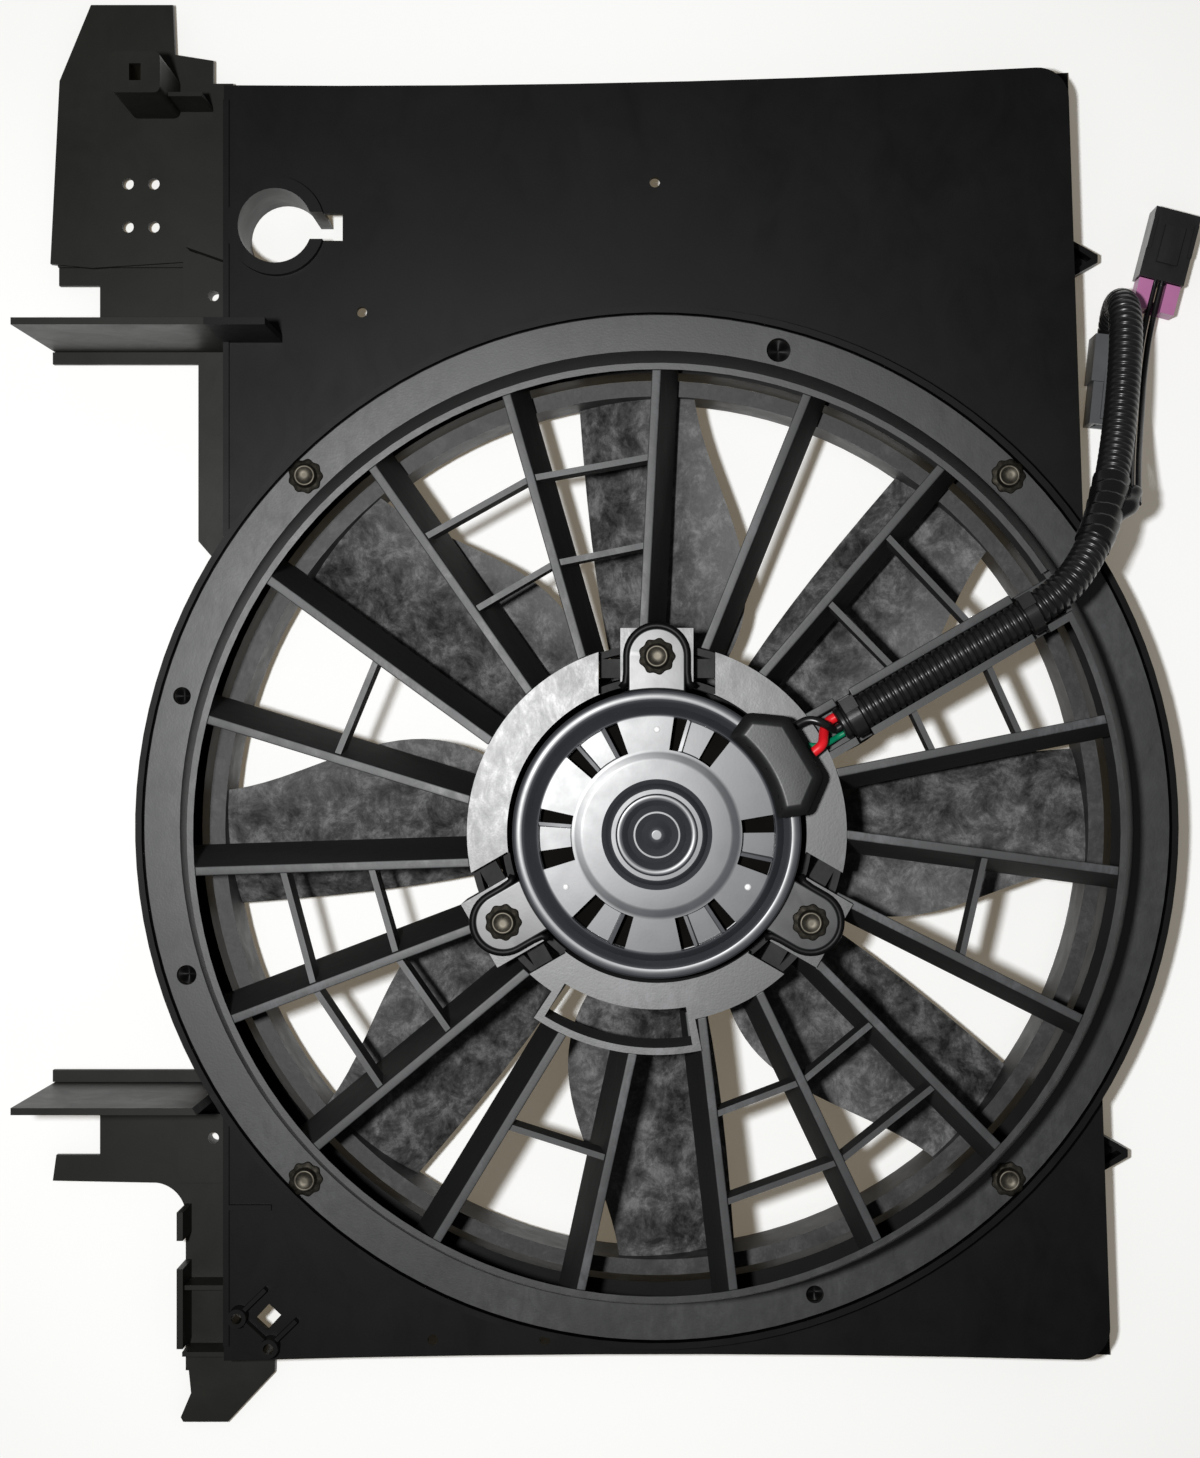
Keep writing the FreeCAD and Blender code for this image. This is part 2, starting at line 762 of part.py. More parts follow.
def make_upper_bracket():
    """The upper left corner: a stepped plate, a hollow tower, a screw pad and a tall air fin."""
    body = new_body("upper_bracket")
    inner = -s.panel_left
    reach = -s.bracket_reach
    end = s.upper_bracket_end
    step = s.upper_fin_y + 33.0
    plate_bottom = s.upper_plate_top - s.bracket_sheet
    plate = [
        (reach, step),
        (reach + 16.4, step - 1.6),
        (inner, step + 2.0),
        (inner, end - 31.0),
        (inner - 7.8, end - 31.0),
        (inner - 7.8, end - 22.0),
        (inner - 22.9, end - 19.6),
        (inner - 23.7, end),
        (reach + 16.0, end),
        (reach + 3.6, end - 30.0),
    ]
    padded_outline(body, "upper_plate", plate, plate_bottom, s.upper_plate_top)
    shelf_top = s.bracket_base + s.bracket_sheet
    shelf = [
        (reach + 2.5, step + 1.5),
        (reach + 2.5, step - 8.0),
        (reach + 18.7, step - 8.0),
        (reach + 18.7, s.upper_fin_y - 1.0),
        (inner, s.upper_fin_y - 1.0),
        (inner, step + 1.5),
    ]
    padded_outline(body, "upper_shelf", shelf, s.bracket_base, shelf_top)
    riser = box_outline(reach + 2.5, inner, step - 1.0, step + 1.4)
    padded_outline(body, "upper_riser", riser, s.bracket_base, plate_bottom + 1)
    pad_outline = box_outline(inner - 19.5, inner, s.upper_mount_hole_y - 9.0, s.upper_mount_hole_y + 16.5)
    padded_outline(body, "upper_screw_pad", pad_outline, 0, s.bracket_pad_top)
    wedge = [(inner - 17.0, step + 5.0), (inner, step - 1.0), (inner, step + 14.0), (inner - 11.0, step + 14.0)]
    padded_outline(body, "upper_wedge", wedge, plate_bottom, s.bracket_pad_top + 8)
    add_fin(body, "upper", s.upper_fin_y, -s.fin_flange)
    strip = [
        (inner - 14.4, s.upper_fin_y - s.fin_flange),
        (inner - 14.4, 112.0),
        (inner - 8.6, 105.3),
        (inner, 112.0),
        (inner, s.upper_fin_y - s.fin_flange),
    ]
    padded_outline(body, "upper_strip", strip, s.bracket_base, shelf_top)
    add_tower(body, plate_bottom)
    drop = s.upper_plate_top - s.bracket_base
    relay = new_sketch(body, "relay_hole_outline", "XY_Plane", s.upper_plate_top)
    for side in (-0.5, 0.5):
        for row in (-0.5, 0.5):
            x = -s.relay_hole_x + side * s.relay_hole_pitch_x
            add_circle(relay, (x, s.relay_hole_y + row * s.relay_hole_pitch_y), s.relay_hole_radius)
    cut(body, "relay_holes", relay, drop)
    add_mount_hole(body, "upper", s.upper_mount_hole_y)
    return keep(body, "upper_bracket")


def add_fin(body, name, y, flange):
    """A tall air fin across the bracket with a low flange along its foot."""
    inner = -s.panel_left
    reach = -s.bracket_reach
    half = s.fin_thickness / 2
    fin = box_outline(reach + 1.0, inner, y - half, y + half)
    padded_outline(body, name + "_fin", fin, s.bracket_base, s.fin_top)
    side = -half if number(flange) < 0 else half
    low, high = (y + flange, y + side) if number(flange) < 0 else (y + side, y + flange)
    foot = box_outline(reach, inner, low, high)
    padded_outline(body, name + "_fin_flange", foot, s.bracket_base, s.bracket_base + s.bracket_sheet)


def add_tower(body, floor):
    """A hollow square tower with a slot in its roof, stayed by a thin rib."""
    x, y = -s.tower_x, s.tower_y
    half_width = s.tower_width / 2
    half_depth = s.tower_depth / 2
    outer = box_outline(x - half_width, x + half_width, y - half_depth, y + half_depth)
    padded_outline(body, "tower", outer, floor, s.tower_top)
    round_corners(body, "tower_corners", outer, 2.5)
    rib = box_outline(x + half_width - 1, -s.panel_left - 7.8, y - 5.2, y - 3.6)
    padded_outline(body, "tower_rib", rib, floor, s.panel_top + 4)
    wall = s.tower_wall
    core = new_sketch(body, "tower_core_outline")
    add_outline(core, box_outline(x - half_width + wall, x + half_width - wall, y - half_depth + wall, y + half_depth - wall))
    cut(body, "tower_core", core, s.tower_top - wall, upward=True)
    slot = new_sketch(body, "tower_slot_outline", "XY_Plane", s.tower_top)
    half_slot = s.tower_slot_width / 2
    half_length = s.tower_slot_length / 2
    add_outline(slot, box_outline(x - half_slot, x + half_slot, y - half_length, y + half_length))
    cut(body, "tower_slot", slot, wall + 1)


def add_mount_hole(body, name, y):
    hole = new_sketch(body, name + "_mount_hole_outline", "XY_Plane", s.bracket_pad_top + 1)
    add_circle(hole, (-s.mount_hole_x, y), s.mount_hole_radius)
    cut(body, name + "_mount_hole", hole, s.bracket_pad_top + 1)


def make_lower_bracket():
    """The lower left corner: a fin, a screw pad, a clip channel and a chamfered foot."""
    body = new_body("lower_bracket")
    inner = -s.panel_left
    reach = -s.bracket_reach
    shelf_top = s.bracket_base + s.bracket_sheet
    add_fin(body, "lower", -s.lower_fin_y, s.fin_flange)
    plate = [
        (inner, -s.lower_fin_y),
        (reach + 18.7, -s.lower_fin_y),
        (reach + 18.7, -130.8),
        (reach + 1.4, -130.8),
        (reach, -141.0),
        (-198.0, -141.8, -3.2),
        (-186.4, -154.5),
        (inner, -154.5),
    ]
    padded_outline(body, "lower_plate", plate, s.bracket_base, shelf_top)
    pad_outline = box_outline(inner - 21.5, inner, -141.0, -s.lower_fin_y - 10.6)
    padded_outline(body, "lower_screw_pad", pad_outline, 0, s.bracket_pad_top)
    channel = box_outline(-186.4, inner, -216.0, -150.0)
    padded_outline(body, "clip_channel_floor", channel, 0, shelf_top)
    wall_top = s.panel_top - 6
    padded_outline(body, "clip_channel_wall", box_outline(-186.4, -184.0, -203.0, -172.0), 0, wall_top)
    padded_outline(body, "clip_channel_stub", box_outline(-186.4, -184.0, -161.0, -150.0), 0, wall_top)
    for name, y in (("upper_channel_rib", -180.0), ("lower_channel_rib", -206.0)):
        padded_outline(body, name, box_outline(-185.0, inner, y - 0.9, y + 0.9), shelf_top - 1, wall_top - 4)
    foot = [
        (-186.4, -204.0),
        (-184.3, -225.0),
        (-188.4, -234.6),
        (-187.4, -s.lower_bracket_end),
        (-169.7, -s.lower_bracket_end),
        (-151.1, -216.5),
        (-151.1, -s.panel_bottom - s.lip_width),
        (inner, -s.panel_bottom - s.lip_width),
        (inner, -204.0),
    ]
    padded_outline(body, "foot", foot, 0, shelf_top)
    collar = new_sketch(body, "collar_space_outline")
    add_circle(collar, (0, 0), rim_radius())
    cut(body, "collar_space", collar)
    add_mount_hole(body, "lower", -s.lower_mount_hole_y)
    return keep(body, "lower_bracket")


# ---------------------------------------------------------------- stator guard


def compound(label, shapes):
    """A sub-part of several separate solids, placed at the fan axis."""
    solids = [solid for shape in shapes for solid in shape.Solids]
    group = doc.addObject("Part::Feature", label)
    group.Shape = Part.makeCompound(solids)
    return keep(group, label)


def turned(shape, angle):
    """A copy of a shape turned about the fan axis."""
    copy = shape.copy()
    copy.rotate(Vector(0, 0, 0), Vector(0, 0, 1), number(angle))
    return copy


# Angle and radius of the holes between the screws, which pass through the guard and the land.
SPARE_HOLES = ((75.7, 4.6), (164.5, 3.4), (197.4, 3.8), (288.7, 3.4))


def add_spare_holes(body, name, top, depth):
    sketch = new_sketch(body, name + "_hole_outline", "XY_Plane", top)
    for angle, radius in SPARE_HOLES:
        add_circle(sketch, around(flange_radius() - s.spare_hole_edge, angle), radius)
    cut(body, name + "_holes", sketch, depth)


def make_guard_ring():
    """The guard's flat flange and flared barrel, notched where the conduit leaves."""
    flange_top = s.land_top + s.guard_flange_thickness
    body = revolved_body("guard_ring", [
        (s.barrel_top_radius, s.guard_top),
        (s.barrel_top_radius + s.barrel_wall, s.guard_top),
        (s.barrel_foot_radius + s.barrel_wall, flange_top),
        (flange_radius(), flange_top),
        (flange_radius(), s.land_top),
        (s.barrel_foot_radius, s.land_top),
    ])
    holes = new_sketch(body, "guard_hole_outline", "XY_Plane", flange_top)
    add_circle(holes, around(screw_circle(), 45.0), s.guard_hole_radius)
    hole = cut(body, "guard_hole", holes, s.guard_flange_thickness)
    repeat(body, "guard_holes", [hole], 4)
    notch = new_sketch(body, "conduit_notch_outline", "XY_Plane", s.guard_top)
    half = channel_half_width()
    left = half + s.conduit_swing
    add_outline(notch, channel_points(s.barrel_top_radius - 8, flange_radius(), -half, left))
    cut(body, "conduit_notch", notch, s.guard_top - channel_top() + s.conduit_swing / 2)
    add_spare_holes(body, "guard_spare", flange_top, s.guard_flange_thickness)
    return keep(body, "guard_ring")


def vane_angle(index):
    return s.vane_phase + index * (360.0 / s.vane_count)


# The conduit's channel runs between one vane and a second wall beside it.
CHANNEL_VANE = 16


def channel_direction():
    return vane_angle(CHANNEL_VANE)


def channel_half_width():
    return s.conduit_radius + s.channel_clearance


def channel_centre():
    """How far the channel's middle stands to the left of its direction."""
    return s.vane_offset - s.vane_top_width / 2 - channel_half_width()


def channel_top():
    """The height of the channel's floor, on which the conduit lies."""
    return s.guard_top - s.conduit_radius


def in_channel(along, across):
    """A point of the channel, from how far along it and how far left of its middle it lies."""
    angle = channel_direction()
    left = channel_centre() + across
    return along * cosine(angle) - left * sine(angle), along * sine(angle) + left * cosine(angle)


def channel_points(start, end, right, left):
    return [in_channel(start, right), in_channel(end, right), in_channel(end, left), in_channel(start, left)]


def make_guard_hub():
    """The ring that holds the motor: a channel section with three raised bosses and a window."""
    sheet_bottom = s.guard_top - s.hub_sheet
    body = revolved_body("guard_hub", [
        (s.hub_bore_radius, s.guard_top),
        (s.hub_radius, s.guard_top),
        (s.hub_radius, s.hub_bottom),
        (s.hub_radius - s.hub_wall, s.hub_bottom),
        (s.hub_radius - s.hub_wall, sheet_bottom),
        (s.hub_bore_radius + s.hub_wall, sheet_bottom),
        (s.hub_bore_radius + s.hub_wall, s.hub_bottom),
        (s.hub_bore_radius, s.hub_bottom),
    ])
    add_hub_window(body)
    half = s.boss_width / 2
    side = half + s.boss_notch
    notch = new_sketch(body, "boss_notch_outline", "XY_Plane", s.guard_top)
    add_outline(notch, box_outline(-side, side, s.hub_bore_radius - 4, s.boss_reach + 2))
    recess = cut(body, "boss_notch", notch, s.boss_notch_depth)
    repeat(body, "boss_notches", [recess], 3)
    seat = new_sketch(body, "boss_outline", "XY_Plane", s.hub_bottom)
    inner = s.hub_bore_radius + 0.4
    add_outline(seat, [(-half, inner), (half, inner), (half, s.boss_reach), (-half, s.boss_reach)])
    boss = pad(body, "boss", seat, s.guard_top + s.boss_rise - s.hub_bottom)
    repeat(body, "bosses", [boss], 3)
    floor = new_sketch(body, "notch_floor_outline", "XY_Plane", s.guard_top - s.boss_notch_depth - s.hub_sheet)
    add_outline(floor, [(-side, inner + 1.6), (side, inner + 1.6), (side, s.hub_radius - 5.6), (-side, s.hub_radius - 5.6)])
    sill = pad(body, "notch_floor", floor, s.hub_sheet)
    repeat(body, "notch_floors", [sill], 3)
    bore = new_sketch(body, "boss_bore_outline", "XY_Plane", s.guard_top + s.boss_rise)
    add_circle(bore, (0, s.motor_bolt_circle), s.screw_shank_radius + s.screw_clearance)
    hole = cut(body, "boss_bore", bore, s.screw_length + 2)
    repeat(body, "boss_bores", [hole], 3)
    return keep(body, "guard_hub")


def sector_outline(inner, outer, start, end):
    """A ring sector's four corners, with its two curved sides as bowed edges."""
    half = (end - start) / 2
    drop = 1 - cosine(half)
    return [
        around(outer, start) + (outer * drop,),
        around(outer, end),
        around(inner, end) + (-(inner * drop),),
        around(inner, start),
    ]


def window_margin():
    """The angle that the window's end walls take up at the middle of their length."""
    return s.hub_wall / (s.hub_bore_radius + s.window_reach) * 2 * math.degrees(1)


def add_hub_window(body):
    """A walled window that bulges out of the hub between two of its bosses."""
    middle = (s.window_start + s.window_end) / 2
    margin = window_margin()
    frame = new_sketch(body, "window_frame_outline", "XY_Plane", s.hub_bottom)
    outer = sector_outline(s.hub_bore_radius + 1, s.window_reach, s.window_start - margin, s.window_end + margin)
    add_outline(frame, outer)
    pad(body, "window_frame", frame, s.guard_top - s.hub_bottom)
    opening = new_sketch(body, "window_outline")
    add_outline(opening, sector_outline(s.window_inset, s.window_reach - s.hub_wall, s.window_start, s.window_end))
    cut(body, "window", opening)
    below = new_sketch(body, "window_seat_outline")
    seat = sector_outline(s.hub_bore_radius + s.hub_wall, s.window_inset - 2, s.window_start, s.window_end)
    add_outline(below, seat)
    cut(body, "window_seat", below, s.guard_top - s.hub_sheet, upward=True)


def vane_body():
    """One canted vane, long enough to be trimmed by the barrel and the hub."""
    body = new_body("vane")
    profile = new_sketch(body, "vane_profile", "YZ_Plane")
    top = s.vane_offset
    low = s.vane_offset - s.vane_cant
    add_outline(profile, [
        (low - s.vane_bottom_width / 2, s.vane_bottom),
        (low + s.vane_bottom_width / 2, s.vane_bottom),
        (top + s.vane_top_width / 2, s.guard_top),
        (top - s.vane_top_width / 2, s.guard_top),
    ])
    pad(body, "vane_blank", profile, flange_radius())
    return body


def barrel_space():
    """The cone of space inside the barrel, where vanes and tie bars end."""
    cone = doc.addObject("Part::Cone", "barrel_space")
    bind(cone, "Radius1", s.barrel_foot_radius)
    bind(cone, "Radius2", s.barrel_top_radius)
    bind(cone, "Height", s.guard_top - s.land_top)
    bind(cone, "Placement.Base.z", s.land_top)
    return cone


def drum(name, radius):
    """A cylinder about the fan axis that stands through the whole guard."""
    cylinder = doc.addObject("Part::Cylinder", name)
    bind(cylinder, "Radius", radius)
    bind(cylinder, "Height", s.guard_top * 2)
    return cylinder


def trimmed(name, blank, space, hub):
    inside = doc.addObject("Part::Common", name + "_inside")
    inside.Base = blank
    inside.Tool = space
    result = doc.addObject("Part::Cut", name)
    result.Base = inside
    result.Tool = hub
    return result


def short_vane(index):
    """Whether a vane ends on the window frame instead of the hub."""
    angle = (number(vane_angle(index)) + 3.5) % 360
    return number(s.window_start) < angle < number(s.window_end)


def make_guard_vanes():
    blank = vane_body()
    space = barrel_space()
    long_one = trimmed("long_vane", blank, space, drum("hub_drum", s.hub_radius))
    short_one = trimmed("short_vane", blank, space, drum("window_drum", s.window_reach))
    doc.recompute()
    vanes = []
    for index in range(int(number(s.vane_count))):
        source = short_one if short_vane(index) else long_one
        vanes.append(turned(source.Shape, vane_angle(index)))
    vanes[CHANNEL_VANE] = vanes[CHANNEL_VANE].cut(tie_notches())
    taken = Part.makeCompound([turned(boss_block(), angle) for angle in (0, 120, 240)] + [window_block()])
    vanes = [vane.cut(taken) for vane in vanes]
    compound("guard_vanes", vanes)
    return vanes


def boss_block():
    """The space of one motor boss, which the vane beside it ends on."""
    half = number(s.boss_width) / 2
    deep = number(s.boss_reach)
    high = number(s.guard_top + s.boss_rise - s.hub_bottom)
    return Part.makeBox(2 * half, deep, high, Vector(-half, 0, number(s.hub_bottom)))


def window_block():
    """The space of the hub's window frame, which the vanes beside it end on."""
    margin = window_margin()
    sweep = number(s.window_end - s.window_start + margin * 2)
    low = Vector(0, 0, number(s.hub_bottom))
    height = number(s.guard_top - s.hub_bottom)
    block = Part.makeCylinder(number(s.window_reach), height, low, Vector(0, 0, 1), sweep)
    return turned(block, s.window_start - margin)


def block_in_channel(start, end, right, left, bottom, top):
    corners = [as_vector(point) for point in channel_points(start, end, right, left)]
    face = Part.Face(Part.makePolygon(corners + corners[:1]))
    block = face.extrude(Vector(0, 0, number(top - bottom)))
    block.translate(Vector(0, 0, number(bottom)))
    return block


def tie_notches():
    """Slots through both channel walls and the floor, where the cable ties pass."""
    wide = channel_half_width() + 12
    low = channel_top() - s.channel_floor - 2
    notches = []
    for along in (s.cable_tie_first, second_tie()):
        start = along - s.tie_notch / 2
        notches.append(block_in_channel(start, start + s.tie_notch, -wide, wide, low, s.guard_top + 1))
    start = second_tie()
    swing = block_in_channel(start, flange_radius(), -channel_half_width(), wide, low, s.guard_top + 1)
    return Part.makeCompound(notches).fuse(swing)


def make_wire_channel(vanes):
    """The channel's second wall and its floor, which hold the conduit beside a vane."""
    half = channel_half_width()
    wall = s.vane_top_width * 0.8
    start, end = s.hub_radius - 6, flange_radius()
    floor_bottom = channel_top() - s.channel_floor
    side = block_in_channel(start, end, -half - wall, -half, s.vane_bottom + 10, s.guard_top)
    floor = block_in_channel(start, end, -half - wall, half + wall, floor_bottom, channel_top())
    space = barrel_space()
    doc.recompute()
    hub = Part.makeCylinder(number(s.hub_radius), number(s.guard_top) * 2)
    channel = side.fuse(floor).common(space.Shape).cut(hub).cut(vanes[CHANNEL_VANE]).cut(tie_notches())
    largest = max(channel.Solids, key=lambda solid: solid.Volume)
    compound("wire_channel", [largest])
    return largest


# Which gaps between neighbouring vanes hold two tie bars, and which hold one.
DOUBLE_TIE_GAPS = (15, 16, 0, 1, 5, 6, 10, 11)
SINGLE_TIE_GAPS = (3, 8, 13)


def make_guard_ties(vanes, channel):
    """Straight bars between neighbouring vanes that stiffen the guard."""
    count = len(vanes)
    bars = []
    for gaps, radii in (
        (DOUBLE_TIE_GAPS, (s.tie_bar_outer, s.tie_bar_inner)),
        (SINGLE_TIE_GAPS, (s.tie_bar_single,)),
    ):
        for gap in gaps:
            after = channel if gap + 1 == CHANNEL_VANE else vanes[(gap + 1) % count]
            for radius in radii:
                bars.append(tie_bar(radius, vane_angle(gap + 0.5), [vanes[gap % count], after]))
    return compound("guard_ties", bars)


def tie_bar(radius, angle, neighbours):
    reach = number(radius) * math.tan(math.pi / number(s.vane_count)) + 12
    angle = number(angle) + math.degrees(math.asin(number(s.vane_offset) / number(radius)))
    width = number(s.tie_bar_width)
    height = number(s.tie_bar_height)
    corner = Vector(number(radius) - width / 2, -reach, number(s.tie_bar_top) - height)
    blank = turned(Part.makeBox(width, 2 * reach, height, corner), angle)
    middle = as_vector(around(radius, angle))
    pieces = blank.cut(Part.makeCompound(neighbours)).Solids
    return min(pieces, key=lambda piece: (piece.CenterOfMass - middle - Vector(0, 0, corner.z)).Length)


# ---------------------------------------------------------------- fasteners


def hexagon(flats):
    corner = flats / (2 * cosine(30.0))
    return [around(corner, 60.0 * side) for side in range(6)]


def screw_body():
    """A hexagon flange screw whose flange rests on height zero and whose shank points down."""
    body = revolved_body("flange_screw", [
        (0, -s.screw_length),
        (s.screw_shank_radius - 1, -s.screw_length),
        (s.screw_shank_radius, -s.screw_length + 2),
        (s.screw_shank_radius, 0),
        (s.screw_flange_radius, 0),
        (s.screw_flange_radius, s.screw_flange_height / 2),
        (s.screw_flange_radius - 1.6, s.screw_flange_height),
        (0, s.screw_flange_height),
    ])
    padded_outline(body, "screw_head", hexagon(s.screw_head_flats), 0.5, s.screw_head_height)
    return body


def make_screws():
    body = screw_body()
    doc.recompute()
    ring_seat = s.land_top + s.guard_flange_thickness
    tab_seat = s.guard_top + s.boss_rise + s.motor_flange_thickness
    for label, radius, first, count, seat in (
        ("ring_screws", screw_circle(), 45.0, 4, ring_seat),
        ("motor_screws", s.motor_bolt_circle, 90.0, 3, tab_seat),
    ):
        copies = []
        for index in range(count):
            x, y = around(radius, first + index * 360.0 / count)
            screw = body.Shape.copy()
            screw.translate(Vector(number(x), number(y), number(seat)))
            copies.append(screw)
        compound(label, copies)


# ---------------------------------------------------------------- motor


def motor_seat():
    """The height of the guard's bosses, on which the motor's tabs rest."""
    return s.guard_top + s.boss_rise


def can_inner():
    return s.can_radius - s.can_wall


def make_motor_can():
    """The drawn steel can with its rolled rim and three screw tabs."""
    seat = motor_seat()
    flange_top = seat + s.motor_flange_thickness
    housing = s.bearing_radius + s.can_wall
    body = revolved_body("motor_can", [
        (s.bearing_radius, s.can_bottom),
        (s.can_radius, s.can_bottom),
        (s.can_radius, seat),
        (s.motor_flange_radius, seat),
        (s.motor_flange_radius, s.motor_rim_top - 1.5),
        (s.motor_flange_radius - 1.5, s.motor_rim_top),
        (s.motor_rim_inner, s.motor_rim_top),
        (s.motor_rim_inner, flange_top),
        (can_inner(), flange_top),
        (can_inner(), s.can_bottom + s.can_wall),
        (housing, s.can_bottom + s.can_wall),
        (housing, s.can_bottom + s.bearing_length + 1),
        (s.bearing_radius, s.can_bottom + s.bearing_length + 1),
    ])
    half = s.motor_tab_width / 2
    quarter_bow = half * (1 - cosine(45.0))
    tab = new_sketch(body, "tab_outline", "XY_Plane", seat)
    add_outline(tab, [
        (-half, s.motor_rim_inner + 1),
        (half, s.motor_rim_inner + 1),
        (half, s.motor_bolt_circle, quarter_bow),
        (0, s.motor_bolt_circle + half, quarter_bow),
        (-half, s.motor_bolt_circle),
    ])
    add_circle(tab, (0, s.motor_bolt_circle), s.motor_hole_radius)
    one = pad(body, "tab", tab, s.motor_flange_thickness)
    repeat(body, "tabs", [one], 3)
    return keep(body, "motor_can")


def make_end_cap():
    """The stamped end cap: a bearing cup, a raised disc and six louvre windows."""
    sheet = s.cap_sheet
    plate, disc, cup = s.cap_plate_top, s.cap_disc_top, s.cap_cup_top
    seat = motor_seat() + s.motor_flange_thickness
    pocket = s.bearing_radius
    body = revolved_body("motor_end_cap", [
        (0, seat + s.bearing_length + 0.6),
        (0, cup + 1.0),
        (3.0, cup + 0.2),
        (3.4, cup - 1.4),
        (7.4, cup - 1.4),
        (7.8, cup - 0.2),
        (8.6, cup - 0.2),
        (9.0, cup - 1.6),
        (12.0, cup - 1.6),
        (12.8, cup),
        (16.4, cup),
        (s.cap_cup_radius - 1.4, disc - 1.6),
        (s.cap_cup_radius, disc - 1.6),
        (s.cap_cup_radius + 1.6, disc),
        (s.cap_disc_radius - 1.2, disc),
        (s.cap_disc_radius + 1.2, plate),
        (s.motor_rim_inner - 4.4, plate),
        (s.motor_rim_inner - 3.6, plate - 3.4),
        (s.motor_rim_inner, plate - 3.4),
        (s.motor_rim_inner, seat),
        (s.motor_rim_inner - 5.2, seat),
        (s.motor_rim_inner - 6.0, plate - sheet),
        (s.cap_disc_radius, plate - sheet),
        (s.cap_disc_radius - 2.0, disc - sheet),
        (s.cap_cup_radius + 2.0, disc - sheet),
        (pocket + s.can_wall, disc - 3.6),
        (pocket + s.can_wall, seat),
        (pocket, seat),
        (pocket, seat + s.bearing_length + 0.6),
    ])
    first = s.cap_window_first - s.cap_window_angle / 2
    last = s.cap_window_first + s.cap_window_angle / 2
    sweep = s.cap_window_pitch * (s.cap_window_count - 1)
    window = new_sketch(body, "louvre_window_outline", "XY_Plane", plate + 1)
    add_outline(window, sector_outline(s.cap_window_inner, s.cap_window_outer, first, last))
    opening = cut(body, "louvre_window", window, sheet + 3)
    repeat(body, "louvre_windows", [opening], s.cap_window_count, sweep)
    floor_top = plate - s.cap_window_drop
    blades = []
    for name, inner, outer, top in (
        ("louvre_floor", s.cap_window_inner - 1, s.cap_window_outer + 0.6, floor_top),
        ("louvre_inner_wall", s.cap_window_inner - 1, s.cap_window_inner + 0.6, plate - sheet / 2),
        ("louvre_outer_wall", s.cap_window_outer - 0.6, s.cap_window_outer + 0.6, plate - sheet / 2),
    ):
        slot = s.louvre_slot_angle
        outline = sector_outline(inner, outer, first + slot, last - slot)
        blades.append(padded_outline(body, name, outline, floor_top - 1.2, top))
    repeat(body, "louvres", blades, s.cap_window_count, sweep)
    dots = new_sketch(body, "cap_hole_outline", "XY_Plane", plate + 1)
    add_circle(dots, (0, s.cap_hole_circle), s.cap_hole_radius)
    dot = cut(body, "cap_hole", dots, sheet + 2)
    repeat(body, "cap_holes", [dot], 3)
    return keep(body, "motor_end_cap")


def make_wire_cover():
    """The moulded cover where the leads leave the motor, standing over the rim."""
    body = new_body("wire_cover")
    low = s.cap_plate_top + s.cover_seat
    shoulder = s.cover_top - s.cover_slope
    outer = s.cover_outer
    start, end = s.cover_start, s.cover_end
    outline = [
        around(outer - s.cover_chamfer, start),
        around(outer, start + s.cover_chamfer_angle),
        around(outer, end - s.cover_chamfer_angle),
        around(outer - s.cover_chamfer, end),
        around(s.cover_inner, end) + (-(s.cover_inner * (1 - cosine((end - start) / 2))),),
        around(s.cover_inner, start),
    ]
    padded_outline(body, "cover_wall", outline, low, shoulder)
    crown = new_sketch(body, "cover_crown_outline", "XY_Plane", shoulder)
    add_outline(crown, outline)
    roof = pad(body, "cover_crown", crown, s.cover_slope)
    roof.TaperAngle = -35.0
    inner = s.motor_flange_radius + s.cover_seat
    skirt = [
        around(outer - s.cover_chamfer, start),
        around(outer, start + s.cover_chamfer_angle),
        around(outer, end - s.cover_chamfer_angle),
        around(outer - s.cover_chamfer, end),
        around(inner, end) + (-(inner * (1 - cosine((end - start) / 2))),),
        around(inner, start),
    ]
    padded_outline(body, "cover_skirt", skirt, s.guard_top + s.cover_seat, low + 1)
    return keep(body, "wire_cover")


def ring_part(label, inner, outer, bottom, top):
    return keep(revolved_body(label, box_outline(inner, outer, bottom, top)), label)


def bearing_bore():
    return s.shaft_radius + s.running_clearance


def make_bearings():
    front = s.can_bottom + 0.5
    ring_part("front_bearing", bearing_bore(), s.bearing_radius, front, front + s.bearing_length)
    rear = motor_seat() + s.motor_flange_thickness
    ring_part("rear_bearing", bearing_bore(), s.bearing_radius, rear, rear + s.bearing_length)


def make_magnets():
    """Four curved field magnets on the inside of the can."""
    body = new_body("magnet")
    half = s.magnet_angle / 2
    bottom = s.core_centre - s.magnet_length / 2
    outline = sector_outline(can_inner() - s.magnet_thickness, can_inner(), -half, half)
    padded_outline(body, "magnet_block", outline, bottom, bottom + s.magnet_length)
    doc.recompute()
    return compound("field_magnets", [turned(body.Shape, 45.0 + 90.0 * index) for index in range(4)])


def core_radius():
    return can_inner() - s.magnet_thickness - s.air_gap


def slot_outline(width, inner, outer):
    return box_outline(inner, outer, -width / 2, width / 2)


